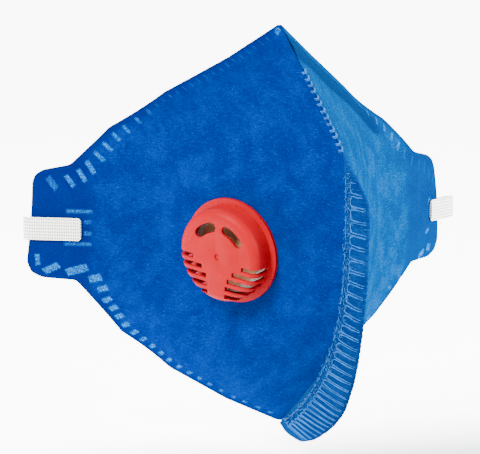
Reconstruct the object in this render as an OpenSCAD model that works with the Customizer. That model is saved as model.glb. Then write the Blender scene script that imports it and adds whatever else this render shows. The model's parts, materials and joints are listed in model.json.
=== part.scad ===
// Fold-flat respirator with an exhalation valve and one elastic headband.
// Two mirrored half-panels, each a stack of four webs, meet at a sewn front seam.
// Right-hand half is +X, left-hand half (with the valve) is -X, the face side is +Y.

/* [Panel outline] */
// Length of a half-panel from the front seam to the tab's edge
panel_length = 117; // [100:1:135]
// Height of the nose tip above the headband line
nose_height = 69; // [60:1:80]
// Depth of the chin tip below the headband line
chin_depth = 65; // [56:1:76]
// Height at which the ridge turns into the front edge
belly_height = 29; // [22:1:34]
// Height of a tab
tab_height = 39; // [32:1:46]

/* [Open shape] */
// Distance from the tabs to the front edge
belly_reach = 88.5; // [76:0.5:100]
// Distance from the tabs to the nose tip
nose_reach = 34; // [28:1:42]
// How far the front edge falls back at the chin
chin_fall = 54; // [44:1:62]
// How sharply the front edge falls back at the chin
chin_power = 3.7; // [3:0.1:4.5]
// Angle of the panel to the mask's width, beside the front seam
front_angle = 57; // [50:1:62]
// Angle of the panel to the mask's width, at the tab
tab_angle = 34; // [28:1:42]

/* [Webs] */
// Thickness of the outer cover web
cover_web = 0.7; // [0.4:0.1:1]
// Room behind the cover web, which takes the nose clip
clip_room = 0.7; // [0.6:0.1:1.2]
// Thickness of the stiff support web
support_web = 0.3; // [0.2:0.1:0.6]
// Thickness of the filter web
filter_web = 0.4; // [0.3:0.1:0.8]
// Thickness of the inner lining web
lining_web = 0.3; // [0.2:0.1:0.6]
// Gap between two webs that lie on each other
web_gap = 0.1; // [0.05:0.05:0.2]
// Gap between the two halves, each side of the middle
half_gap = 0.15; // [0.15:0.05:0.4]

/* [Front seam] */
// Width of the sewn edge over its straight stretch
seam_width = 9.5; // [6:0.5:12]
// Width of the sewn edge at the chin
seam_chin_width = 12; // [8:0.5:15]
// Thickness of the sewn edge, all plies pressed together
seam_thick = 2; // [1.4:0.1:2.6]
// Lean of the sewn edge to the right
seam_lean = 24; // [0:1:35]
// Spacing of the first stitches, at the top of the sewn edge
stitch_pitch = 4.4; // [3.4:0.1:5.4]
// Share by which the spacing tightens down to the chin
stitch_tighten = 0.77; // [0:0.01:0.8]
// Thickness of the sewing thread
thread = 0.5; // [0.3:0.1:0.8]
// Width of the seam allowance inside the ridge
ridge_allowance = 6; // [4:0.5:8]

/* [Nose clip] */
// Length of the nose clip along the curve
clip_length = 88; // [60:1:110]
// Width of the nose clip
clip_width = 5; // [3:0.5:6]
// Thickness of the nose clip
clip_thick = 0.45; // [0.3:0.05:0.5]
// Distance from the top edge to the clip's middle
clip_inset = 7; // [6:0.5:9]

/* [Valve] */
// Distance from the front seam to the valve's middle
valve_along = 43; // [41:0.5:52]
// Height of the valve's middle
valve_height = -3.5; // [-10:0.5:4]
// Downward tilt of the valve
valve_tilt = 10; // [0:1:14]
// Turn of the valve about its own axis
valve_roll = 10; // [-15:1:15]
// Width of the valve's flange beyond the cover's wall
flange_lip = 2; // [1:0.25:3]
// Thickness of both flanges
flange_thick = 1.1; // [0.8:0.1:1.6]
// Outer radius of the valve cover's wall
cap_r = 15.5; // [14.5:0.25:16]
// Height of the valve cover
cap_height = 9; // [8:0.1:11]
// Radius of the valve cover's rounded shoulder
cap_round = 2.8; // [1.6:0.1:3.2]
// Wall of the valve cover
cap_wall = 1.1; // [0.8:0.1:1.4]
// Outlet slots on each side
slot_count = 5; // [3:1:5]
// Spacing of the outlet slots
slot_pitch = 2.75; // [2.4:0.05:3]
// Height of one outlet slot
slot_open = 1.6; // [1.2:0.05:1.8]
// Radius of the port through the valve seat
port_r = 10.2; // [9:0.1:10.8]
// How far the flap reaches beyond the port
flap_lap = 1.2; // [1:0.1:1.5]
// Thickness of the flap
flap_thick = 0.5; // [0.3:0.05:0.8]
// Clearance around what fits together in the valve
valve_fit = 0.1; // [0.05:0.05:0.2]

/* [Headband] */
// Width of the elastic headband
band_width = 7.6; // [6:0.2:10]
// Thickness of the elastic headband
band_thick = 0.9; // [0.6:0.1:1.2]

/* [Hidden] */

// Depth of each web's outer face below the panel's outer face
support_depth = cover_web + clip_room;
filter_depth = support_depth + support_web + web_gap;
lining_depth = filter_depth + filter_web + web_gap;
panel_thick = lining_depth + lining_web;

// Rounded row profile: where it starts to turn and over what length
turn_start = 58;
turn_length = 34;
profile_step = 1;
ridge_slope = (belly_reach - nose_reach) / (nose_height - belly_height);
ridge_round = 4;
ridge_round_growth = 0.1;

// Outline of the half-panel: distance from the seam as a share of panel_length,
// by height, where the heights of the edges are shares of their own run
tab_top = tab_height / 2 + 2;
tab_bottom = tab_top - tab_height;
top_run = nose_height - tab_top;
bottom_run = tab_bottom + chin_depth;
outline = [
    [-chin_depth, 0],
    [-chin_depth + 0.15 * bottom_run, 0.245],
    [-chin_depth + 0.36 * bottom_run, 0.5],
    [-chin_depth + 0.62 * bottom_run, 0.7],
    [-chin_depth + 0.88 * bottom_run, 0.81],
    [tab_bottom, 0.86],
    [tab_bottom + 0.6, 0.96],
    [tab_bottom + 2.4, 0.995],
    [tab_bottom + 6, 1.01],
    [tab_top - 6, 0.99],
    [tab_top - 3.5, 0.98],
    [tab_top - 1.8, 0.955],
    [tab_top, 0.875],
    [tab_top + 0.1 * top_run, 0.825],
    [tab_top + 0.26 * top_run, 0.74],
    [tab_top + 0.51 * top_run, 0.52],
    [tab_top + 0.76 * top_run, 0.24],
    [nose_height, 0]
];
end_trim = 0.6;
end_trim_growth = 0.5;
web_columns = 14;

// The web lies flat under the valve out to flat_r and fades back over flat_fade
flange_r = cap_r + flange_lip;
flat_r = flange_r + 6;
flat_fade = 13;

function ease(t) = let (c = min(1, max(0, t))) c * c * (3 - 2 * c);
function unit(v) = v / norm(v);

// Row profile, walked out from the seam in small steps
function heading(s) =
    front_angle - (front_angle - tab_angle) * ease((s - turn_start) / turn_length);
profile_count = panel_length + 10;
profile_x = [for (i = 0, x = 0; i <= profile_count;
    x = x + profile_step * cos(heading((i + 0.5) * profile_step)), i = i + 1)
    [i * profile_step, x]];
profile_y = [for (i = 0, y = 0; i <= profile_count;
    y = y + profile_step * sin(heading((i + 0.5) * profile_step)), i = i + 1)
    [i * profile_step, y]];

// Front edge in the middle plane, softened where the ridge meets it
function keel_y(q, s = 0) =
    let (h = q - belly_height, r = ridge_round + ridge_round_growth * s)
    -belly_reach
    + ridge_slope * (h + sqrt(h * h + r * r)) / 2
    + chin_fall * pow(max(0, -h) / (belly_height + chin_depth), chin_power);
function keel_point(q) = [0, keel_y(q), q];
function keel_slope(q) = (keel_y(q + 0.5) - keel_y(q - 0.5));
function keel_out(q) = unit([0, -1, keel_slope(q)]);
function keel_along(q) = unit([0, keel_slope(q), 1]);

// Right half's outer face and its outward normal
function face_at(s, q) =
    [lookup(s, profile_x), keel_y(q, s) + lookup(s, profile_y), q];
function normal(s, q) =
    unit(cross(face_at(s + 1, q) - face_at(max(0, s - 1), q), face_at(s, q + 1) - face_at(s, q - 1)));
function edge(q) = panel_length * lookup(q, outline);

// Valve seat plane, on the right half before it is mirrored to the left
valve_at = face_at(valve_along, valve_height);
valve_facing = heading(valve_along);
valve_normal = [
    sin(valve_facing) * cos(valve_tilt),
    -cos(valve_facing) * cos(valve_tilt),
    -sin(valve_tilt)
];
function flatness(p) = 1 - ease((norm(p - valve_at) - flat_r) / flat_fade);

// Point at a depth below the outer face, flattened under the valve where asked
function panel_point(s, q, depth, valved) =
    let (
        p = face_at(s, q),
        n = normal(s, q),
        w = valved ? flatness(p) : 0,
        m = unit(n * (1 - w) + valve_normal * w)
    )
    p - valve_normal * ((p - valve_at) * valve_normal) * w - m * depth;

// Distance along the row at which a face at a depth meets the half's own side
function seam_start(q, depth) =
    (normal(1, q)[0] * depth + half_gap) / cos(front_angle);

// Rows of the web grid: dense round the tab's corners
function rows(depth) =
    let (
        trim = end_trim + end_trim_growth * depth,
        low = -chin_depth + trim,
        high = nose_height - trim
    )
    concat(
        [for (i = [0:5]) low + (tab_bottom - low) * i / 6],
        [for (t = [0, 0.6, 2.4, 6]) tab_bottom + t],
        [for (i = [1:2]) tab_bottom + 6 + (tab_height - 12) * i / 3],
        [for (t = [6, 3.5, 1.8, 0]) tab_top - t],
        [for (i = [1:7]) tab_top + (high - tab_top) * i / 7]
    );

// Points of one face of a web, row by row
function face_points(depth, row_depth, valved) = [
    for (q = rows(row_depth))
        let (a = seam_start(q, depth), b = edge(q))
        for (i = [0:web_columns]) panel_point(a + (b - a) * i / web_columns, q, depth, valved)
];

// Faces of a closed slab made of two grids of points with the same layout
function slab_faces(columns, row_count) =
    let (w = columns + 1, n = w * row_count)
    concat(
        [for (j = [0:row_count - 2]) for (i = [0:columns - 1])
            let (k = j * w + i) each [[k, k + w + 1, k + 1], [k, k + w, k + w + 1]]],
        [for (j = [0:row_count - 2]) for (i = [0:columns - 1])
            let (k = n + j * w + i) each [[k, k + 1, k + w + 1], [k, k + w + 1, k + w]]],
        [for (i = [0:columns - 1])
            each [[i, i + 1, n + i + 1], [i, n + i + 1, n + i]]],
        [for (i = [0:columns - 1])
            let (k = n - w + i) each [[k, n + k + 1, k + 1], [k, n + k, n + k + 1]]],
        [for (j = [0:row_count - 2])
            let (k = j * w) each [[k, n + k, n + k + w], [k, n + k + w, k + w]]],
        [for (j = [0:row_count - 2])
            let (k = j * w + columns) each [[k, n + k + w, n + k], [k, k + w, n + k + w]]]
    );

module slab(outer, inner, columns) {
    polyhedron(
        points = concat(outer, inner),
        faces = slab_faces(columns, len(outer) / (columns + 1)),
        convexity = 8
    );
}

// One web of the right half
module web(depth, thick, valved) {
    inner_depth = depth + thick;
    slab(
        face_points(depth, inner_depth, valved),
        face_points(inner_depth, inner_depth, valved),
        web_columns
    );
}

module to_left() {
    mirror([1, 0, 0]) children();
}

// Valve frame: Z out of the web, Y up, on the right half before mirroring
module at_valve() {
    translate(valve_at) rotate([90 + valve_tilt, 0, valve_facing]) rotate([0, 0, valve_roll]) children();
}

module valved_web(depth, thick) {
    difference() {
        web(depth, thick, true);
        at_valve() cylinder(r = hole_r, h = 30, center = true, $fn = 64);
    }
}

module cover_left() {
    color("royalblue") to_left() valved_web(0, cover_web);
}

module cover_right() {
    color("royalblue") web(0, cover_web, false);
}

module support_left() {
    color("aliceblue") to_left() valved_web(support_depth, support_web);
}

module support_right() {
    color("aliceblue") web(support_depth, support_web, false);
}

module filter_left() {
    color("white") to_left() valved_web(filter_depth, filter_web);
}

module filter_right() {
    color("white") web(filter_depth, filter_web, false);
}

module lining_left() {
    color("lightcyan") to_left() valved_web(lining_depth, lining_web);
}

module lining_right() {
    color("lightcyan") web(lining_depth, lining_web, false);
}

// ---- Front seam ----
seam_top = belly_height + 1;
seam_bottom = -chin_depth + 0.5;
seam_rows = 26;
seam_root = 0.25;
seam_start_width = 1.2;
seam_ramp = 26;

// Direction out across the sewn edge, leaning to the right, and its side
function seam_out(q) = keel_out(q) * cos(seam_lean) + [sin(seam_lean), 0, 0];
function seam_side(q) = unit(cross(seam_out(q), keel_along(q)));
function seam_reach(q) =
    let (
        grow = ease((seam_top - q) / seam_ramp),
        chin = ease((q - seam_bottom - 26) / -26)
    )
    seam_start_width + (seam_width - seam_start_width) * grow
        + (seam_chin_width - seam_width) * chin;
function seam_point(q, across, side) =
    keel_point(q) + seam_out(q) * across + seam_side(q) * side;
function seam_q(i, n) = seam_top + (seam_bottom - seam_top) * i / n;

module front_seam() {
    half = seam_thick / 2;
    color("mediumblue") slab(
        [for (i = [0:seam_rows]) let (q = seam_q(i, seam_rows))
            each [seam_point(q, seam_root, half), seam_point(q, seam_reach(q), half * 0.8)]],
        [for (i = [0:seam_rows]) let (q = seam_q(i, seam_rows))
            each [seam_point(q, seam_root, -half), seam_point(q, seam_reach(q), -half * 0.8)]],
        1
    );
}

// Seam allowance turned inside the ridge: a wedge between the two laminates
allowance_rows = 10;
allowance_edge = 0.12;
allowance_half = 0.6;
allowance_gap = 0.3;
function allowance_point(q, deep, side) =
    keel_point(q) - keel_out(q) * (panel_thick / cos(front_angle) + deep) + [side, 0, 0];
function allowance_face(side) =
    let (
        low = belly_height + 3,
        high = nose_height - end_trim_growth * panel_thick - 4.5
    )
    [for (i = [0:allowance_rows]) let (q = low + (high - low) * i / allowance_rows)
        each [
            allowance_point(q, allowance_gap, side * allowance_edge),
            allowance_point(q, allowance_gap + 1.6, side * allowance_half),
            allowance_point(q, allowance_gap + 0.6 + ridge_allowance, side * allowance_half)
        ]];

module ridge_seam() {
    color("mediumblue") slab(allowance_face(1), allowance_face(-1), 2);
}

// Square bar between two points, with its width along a given direction
module bar(a, b, wide, thick) {
    along = unit(b - a);
    across = unit(wide - along * (wide * along)) * thick / 2;
    up = unit(cross(along, across)) * thick / 2;
    polyhedron(
        points = [
            a - across - up, a + across - up, a + across + up, a - across + up,
            b - across - up, b + across - up, b + across + up, b - across + up
        ],
        faces = [[0, 1, 2, 3], [7, 6, 5, 4], [0, 4, 5, 1], [1, 5, 6, 2], [2, 6, 7, 3], [3, 7, 4, 0]]
    );
}

stitch_first = seam_top - 6;
stitch_last = seam_bottom + 3;
stitch_root = 1.4;
stitch_least = 2.2;
needle_across = 0.9;
looper_shift = 0.3;
stitch_count = round((stitch_first - stitch_last) / (stitch_pitch * (1 - stitch_tighten / 2)));
function stitch_q(i) =
    let (t = i / stitch_count)
    stitch_first + (stitch_last - stitch_first) * t * (1 - stitch_tighten * t / 2) / (1 - stitch_tighten / 2);
thread_clear = seam_thick / 2 + thread / 2 + 0.05;

// Looper strands across one face of the sewn edge
module looper(side, shift) {
    for (i = [0:stitch_count - 1]) {
        q = stitch_q(i + shift);
        reach = max(stitch_least, seam_reach(q) - 0.2);
        bar(
            seam_point(q, stitch_root, side * thread_clear),
            seam_point(q, reach, side * thread_clear),
            keel_along(q),
            thread
        );
    }
}

// Needle thread: one bar per stitch down the left face, beside the panels
module needle_thread() {
    color("lightskyblue") for (i = [0:stitch_count - 2])
        bar(
            seam_point(stitch_q(i + 0.1), needle_across, -thread_clear),
            seam_point(stitch_q(i + 0.8), needle_across, -thread_clear),
            seam_out(stitch_q(i)),
            thread
        );
}

module upper_looper_thread() {
    color("deepskyblue") looper(-1, looper_shift);
}

module lower_looper_thread() {
    color("dodgerblue") looper(1, 1 - looper_shift);
}

// Short stitches over the ridge, above the sewn edge
ridge_stitches = 13;
ridge_stitch_width = 2.6;
ridge_stitched = 0.61;
module ridge_thread() {
    first = belly_height + 1.7;
    last = belly_height + ridge_stitched * (nose_height - belly_height);
    color("lightskyblue") for (i = [0:ridge_stitches - 1]) {
        q = first + (last - first) * i / (ridge_stitches - 1);
        translate(keel_point(q) + keel_out(q) * (thread / 2 + 0.1))
            rotate([0, 90, 0])
                cylinder(d = thread, h = ridge_stitch_width, center = true, $fn = 16);
    }
}

// ---- Nose clip, in the room behind the cover web ----
clip_rows = 14;
clip_depth = cover_web + (clip_room - clip_thick) / 2;

// Height of the top edge at a distance from the seam
edge_by_distance = [for (i = [len(outline) - 1:-1:12]) [outline[i][1] * panel_length, outline[i][0]]];
function clip_q(s, side) =
    let (run = top_run / edge_by_distance[5][0], rise = sqrt(1 + run * run))
    lookup(s, edge_by_distance) - (clip_inset + side * clip_width / 2) * rise;
function clip_point(s, side, depth) =
    let (q = clip_q(s, side), a = max(s, normal(1, q)[0] * depth / cos(front_angle)))
    panel_point(a, q, depth, false);

// Point of the clip in one of its rows, counted from the middle plane
function clip_cross(row, side, depth) =
    let (p = clip_point(clip_length / 2 * abs(row) / clip_rows, side, depth))
    [sign(row) * p[0], p[1], p[2]];

module nose_clip() {
    color("silver") slab(
        [for (i = [-clip_rows:clip_rows])
            each [clip_cross(i, -1, clip_depth), clip_cross(i, 1, clip_depth)]],
        [for (i = [-clip_rows:clip_rows])
            each [clip_cross(i, -1, clip_depth + clip_thick), clip_cross(i, 1, clip_depth + clip_thick)]],
        1
    );
}

// ---- Exhalation valve ----
hole_r = cap_r - cap_wall - 0.2;
barrel_r = hole_r - valve_fit;
seat_back = -panel_thick - valve_fit;
lip_height = 1.6;
flap_z = lip_height + 0.05;
flap_r = port_r + flap_lap;
lip_wall = 0.9;
ledge_half = 5;
ledge_deep = 3.2;
ledge_gap = 0.4;
ledge_back = sqrt(barrel_r * barrel_r - ledge_half * ledge_half) - ledge_gap;
retainer_y = ledge_back - ledge_deep;
retainer_half = ledge_half - ledge_gap;
retainer_deep = 2.2;
retainer_high = 1;
pin_gap = 2.6;
pin_r = 0.5;
barrel_top = 0.8;
spoke = 1.6;
spoke_height = 1.8;
hub_r = 2.4;
window_margin = 1.1;
window_deep = 3.3;
window_outer = cap_r - cap_round - window_margin;
window_inner = window_outer - window_deep;
window_from = 16.5;
window_to = 48.5;
stem_half = 3.3;
stem_flare = 6.1;
stem_power = 3;
slot_top = -1.9;
slot_foot = 1.3;
slot_reach = 2 * cap_r;
gate_r = 1.1;
gate_depth = 0.4;

// Flange outside the web, wall, rounded shoulder and flat face
module valve_shell() {
    inner_round = cap_round - cap_wall;
    rotate_extrude($fn = 96) difference() {
        union() {
            translate([0, valve_fit]) square([flange_r, flange_thick]);
            translate([0, valve_fit]) square([cap_r - cap_round, cap_height - valve_fit]);
            translate([0, valve_fit]) square([cap_r, cap_height - cap_round - valve_fit]);
            translate([cap_r - cap_round, cap_height - cap_round]) circle(r = cap_round, $fn = 48);
        }
        square([cap_r - cap_wall, cap_height - cap_round]);
        square([cap_r - cap_round, cap_height - cap_wall]);
        translate([cap_r - cap_round, cap_height - cap_round]) circle(r = inner_round, $fn = 32);
        translate([-30, -30]) square([30, 60]);
    }
}

// Curved window with round ends, by the turn from the top of the face
window_steps = 8;
window_middle = (window_inner + window_outer) / 2;
window_half = (window_outer - window_inner) / 2;
function window_arc(r, steps) = [
    for (k = steps)
        let (turn = window_from + (window_to - window_from) * k / window_steps)
        [r * sin(turn), r * cos(turn)]
];
function window_end(turn, way, bends) = [
    for (bend = bends)
        let (r = window_middle + window_half * cos(bend), out = way * window_half * sin(bend))
        [r * sin(turn) + out * cos(turn), r * cos(turn) - out * sin(turn)]
];
window_outline = concat(
    window_end(window_from, -1, [180:-30:0]),
    window_arc(window_outer, [1:window_steps - 1]),
    window_end(window_to, 1, [0:30:180]),
    window_arc(window_inner, [window_steps - 1:-1:1])
);
module window(side) {
    linear_extrude(height = 2 * cap_wall + 1)
        polygon([for (p = window_outline) [side * p[0], p[1]]]);
}

// Inner end of a slot: the solid stem flares towards the middle of the face
function slot_inner(i) = stem_half + stem_flare * pow(1 - i / (slot_count - 1), stem_power);

module slots(side) {
    for (i = [0:slot_count - 1]) {
        y = slot_top - i * slot_pitch;
        x = slot_inner(i);
        translate([side > 0 ? x : -x - slot_reach, y - slot_open / 2, flange_thick + valve_fit + slot_foot])
            cube([slot_reach, slot_open, cap_height]);
    }
}

module valve_cover() {
    color("tomato") to_left() at_valve() difference() {
        valve_shell();
        translate([0, 0, cap_height - cap_wall - 1]) {
            window(1);
            window(-1);
        }
        slots(1);
        slots(-1);
        translate([0, 0, cap_height - gate_depth]) cylinder(r = gate_r, h = 1, $fn = 32);
    }
}

// Seat: flange inside the mask, barrel through the webs, sealing lip and spokes
module valve_seat() {
    root = port_r + 0.3;
    color("wheat") to_left() at_valve() union() {
        difference() {
            union() {
                translate([0, 0, seat_back - flange_thick])
                    cylinder(r = flange_r, h = flange_thick, $fn = 96);
                translate([0, 0, seat_back - flange_thick])
                    cylinder(r = barrel_r, h = flange_thick - seat_back + barrel_top, $fn = 96);
                translate([0, 0, seat_back])
                    cylinder(r = port_r + lip_wall, h = lip_height - seat_back, $fn = 96);
            }
            translate([0, 0, seat_back - 2 * flange_thick])
                cylinder(r = port_r, h = 4 * panel_thick + cap_height, $fn = 96);
        }
        translate([-ledge_half, retainer_y, seat_back])
            cube([2 * ledge_half, ledge_deep, lip_height - seat_back]);
        for (a = [0, 60, 120])
            rotate([0, 0, a]) translate([-root, -spoke / 2, seat_back])
                cube([2 * root, spoke, spoke_height]);
        translate([0, 0, seat_back]) cylinder(r = hub_r, h = spoke_height, $fn = 48);
    }
}

// Flap: a disc with a straight upper edge, where it flexes
module valve_flap() {
    low = 2 * flap_r;
    color("tan") to_left() at_valve() intersection() {
        translate([0, 0, flap_z]) cylinder(r = flap_r, h = flap_thick, $fn = 96);
        translate([-flap_r, -low, 0]) cube([2 * flap_r, low + retainer_y - valve_fit, cap_height]);
    }
}

// Bar that holds the flap's upper edge down on the seat
module flap_retainer() {
    color("wheat") to_left() at_valve() difference() {
        translate([-retainer_half, retainer_y, flap_z])
            cube([2 * retainer_half, retainer_deep, retainer_high]);
        for (x = [-pin_gap, pin_gap])
            translate([x, retainer_y + retainer_deep / 2, flap_z + 0.6 * retainer_high])
                cylinder(r = pin_r, h = retainer_high, $fn = 24);
    }
}

// ---- Headband ----
// Middle of a tab's edge, which the band's ends are placed from
tab_point = face_at(edge(0), 0);
function from_tab(side, offset) = [side * tab_point[0], tab_point[1], 0] + offset;

// Routes of the band's middle: round the left tab, the free loop, round the right tab
left_route = [for (offset = [
    [16, -12.1, 0], [10, -7.8, 0], [4, -3.6, 0], [0.5, -1.1, 0],
    [-0.95, 0.35, 0], [-1.25, 1.95, 0], [-0.15, 3.55, -0.5], [2.55, 5.95, -1.5]
]) from_tab(-1, offset)];
loop_route = [
    [-68, 12.6, -4], [-61, 18, -8], [-52, 23.6, -12.5],
    [-42, 28.6, -17.5], [-31, 32.6, -22], [-19, 35.6, -26], [-6, 37.4, -29],
    [7, 37.8, -30], [20, 36.6, -28.5], [33, 34, -25], [45, 30.2, -20],
    [56, 25.6, -14.5], [66, 20.6, -9], [74, 16.2, -4.5]
];
right_route = [for (offset = [
    [3.95, 11.55, -2], [7.45, 9.15, -0.5], [8.75, 6.55, 0], [6.95, 4.25, 0],
    [2.95, 1.35, 0], [-1.05, -1.45, 0], [-4.85, -4.25, 0]
]) from_tab(1, offset)];
band_route = concat(left_route, loop_route, right_route);
band_last = len(band_route) - 1;
loop_first = len(left_route) - 1;
loop_last = loop_first + len(loop_route) + 1;
function band_tangent(i) =
    unit(band_route[min(band_last, i + 1)] - band_route[max(0, i - 1)]);
function band_side(i) = let (t = band_tangent(i)) unit([0, 0, 1] - t * t[2]);
function band_face(i) = unit(cross(band_side(i), band_tangent(i)));
function band_corner(i, across, out) =
    band_route[i] + band_side(i) * across * band_width / 2 + band_face(i) * out * band_thick / 2;

// Flat ribbon along a stretch of the route
module ribbon(first, last) {
    slab(
        [for (i = [first:last]) each [band_corner(i, -1, -1), band_corner(i, 1, -1)]],
        [for (i = [first:last]) each [band_corner(i, -1, 1), band_corner(i, 1, 1)]],
        1
    );
}

module band_end_left() {
    color("whitesmoke") ribbon(0, loop_first);
}

module headband() {
    color("whitesmoke") ribbon(loop_first, loop_last);
}

module band_end_right() {
    color("whitesmoke") ribbon(loop_last, band_last);
}

cover_left();
cover_right();
support_left();
support_right();
filter_left();
filter_right();
lining_left();
lining_right();
front_seam();
ridge_seam();
needle_thread();
upper_looper_thread();
lower_looper_thread();
ridge_thread();
nose_clip();
valve_seat();
valve_flap();
flap_retainer();
valve_cover();
band_end_left();
headband();
band_end_right();
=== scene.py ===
"""A sewn fold-flat respirator with an exhalation valve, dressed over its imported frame."""

import json
import logging
import math
from dataclasses import dataclass, field
from enum import Enum
from typing import Optional, Sequence

import bmesh
import bpy
import numpy as np
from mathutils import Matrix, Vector

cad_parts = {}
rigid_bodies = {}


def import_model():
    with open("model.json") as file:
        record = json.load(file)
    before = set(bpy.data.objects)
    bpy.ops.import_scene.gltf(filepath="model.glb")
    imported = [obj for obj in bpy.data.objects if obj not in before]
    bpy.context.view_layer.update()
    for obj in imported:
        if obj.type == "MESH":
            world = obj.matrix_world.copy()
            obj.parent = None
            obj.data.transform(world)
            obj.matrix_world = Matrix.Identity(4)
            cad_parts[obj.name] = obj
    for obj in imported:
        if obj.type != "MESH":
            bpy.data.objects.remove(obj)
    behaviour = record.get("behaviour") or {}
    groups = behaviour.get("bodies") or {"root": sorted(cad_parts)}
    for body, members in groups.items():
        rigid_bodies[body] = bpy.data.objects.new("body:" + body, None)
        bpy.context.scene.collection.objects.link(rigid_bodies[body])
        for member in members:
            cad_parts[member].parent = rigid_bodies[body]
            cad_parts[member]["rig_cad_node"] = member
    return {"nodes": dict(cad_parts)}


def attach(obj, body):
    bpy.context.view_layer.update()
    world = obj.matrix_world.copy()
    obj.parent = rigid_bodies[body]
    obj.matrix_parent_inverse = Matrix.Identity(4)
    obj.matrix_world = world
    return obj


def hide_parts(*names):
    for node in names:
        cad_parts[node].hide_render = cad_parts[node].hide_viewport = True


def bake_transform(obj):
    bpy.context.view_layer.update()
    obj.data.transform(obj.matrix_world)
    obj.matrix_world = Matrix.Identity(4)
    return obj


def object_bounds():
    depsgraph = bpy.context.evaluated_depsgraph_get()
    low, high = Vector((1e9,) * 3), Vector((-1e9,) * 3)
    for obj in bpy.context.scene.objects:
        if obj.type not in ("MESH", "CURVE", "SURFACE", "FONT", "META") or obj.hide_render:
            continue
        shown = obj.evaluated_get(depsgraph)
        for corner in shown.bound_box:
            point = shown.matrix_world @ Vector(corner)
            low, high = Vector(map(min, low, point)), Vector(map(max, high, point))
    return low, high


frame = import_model()
cad_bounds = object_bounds()

log = logging.getLogger("respirator")
MM = 0.001


class Body(Enum):
    """Rigid bodies of the frame."""

    LEFT = "left_half"
    RIGHT = "right_half"
    FLAP = "valve_flap"


class Side(Enum):
    """The two halves, by the sign of X."""

    LEFT = -1
    RIGHT = 1


# ---------------------------------------------------------------- small maths


def ease(t: np.ndarray) -> np.ndarray:
    """Smooth step from 0 to 1 for any numbers, clipped to that range."""
    c = np.clip(t, 0.0, 1.0)
    return c * c * (3.0 - 2.0 * c)


def unit(v: np.ndarray) -> np.ndarray:
    """Vectors along the last axis, scaled to length one."""
    return v / np.maximum(np.linalg.norm(v, axis=-1, keepdims=True), 1e-12)


def lattice(x: np.ndarray, y: np.ndarray, seed: int) -> np.ndarray:
    """Repeatable random numbers from -1 to 1 on whole-number points."""
    n = np.sin(x * 127.1 + y * 311.7 + seed * 74.7) * 43758.5453
    return 2.0 * (n - np.floor(n)) - 1.0


def waves(x: np.ndarray, y: np.ndarray, scale: float, seed: int) -> np.ndarray:
    """Soft value noise.

    Args:
        x: First coordinate, in metres.
        y: Second coordinate, in metres.
        scale: Size of one bump, in metres.
        seed: Picks the pattern.

    Returns:
        Numbers from -1 to 1.
    """
    u, v = x / scale, y / scale
    i, j = np.floor(u), np.floor(v)
    a, b = ease(u - i), ease(v - j)
    low = lattice(i, j, seed) * (1 - a) + lattice(i + 1, j, seed) * a
    high = lattice(i, j + 1, seed) * (1 - a) + lattice(i + 1, j + 1, seed) * a
    return low * (1 - b) + high * b


def smooth_path(points: Sequence[Sequence[float]], step: float) -> np.ndarray:
    """A Catmull-Rom curve through points, in even steps.

    Args:
        points: Points to pass through.
        step: Distance between the points of the result.

    Returns:
        Points along the curve, ends included.
    """
    p = np.asarray(points, float)
    p = np.vstack([2 * p[0] - p[1], p, 2 * p[-1] - p[-2]])
    t = np.linspace(0, 1, 24, endpoint=False)[:, None]
    parts = []
    for k in range(1, len(p) - 2):
        a, b, c, d = p[k - 1 : k + 3]
        parts.append(
            0.5 * (2 * b + (c - a) * t + (2 * a - 5 * b + 4 * c - d) * t**2
                   + (3 * b - a - 3 * c + d) * t**3)
        )
    return even_steps(np.vstack(parts + [p[-2:-1]]), step)


def even_steps(points: np.ndarray, step: float) -> np.ndarray:
    """Points spaced evenly along a line of points.

    Args:
        points: The line.
        step: Wanted spacing.

    Returns:
        Evenly spaced points, ends included.
    """
    run = np.concatenate([[0], np.cumsum(np.linalg.norm(np.diff(points, axis=0), axis=1))])
    at = np.linspace(0, run[-1], max(2, int(round(run[-1] / step)) + 1))
    return np.stack([np.interp(at, run, points[:, k]) for k in range(points.shape[1])], 1)


# ------------------------------------------------------------ the panel's shape


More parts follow.
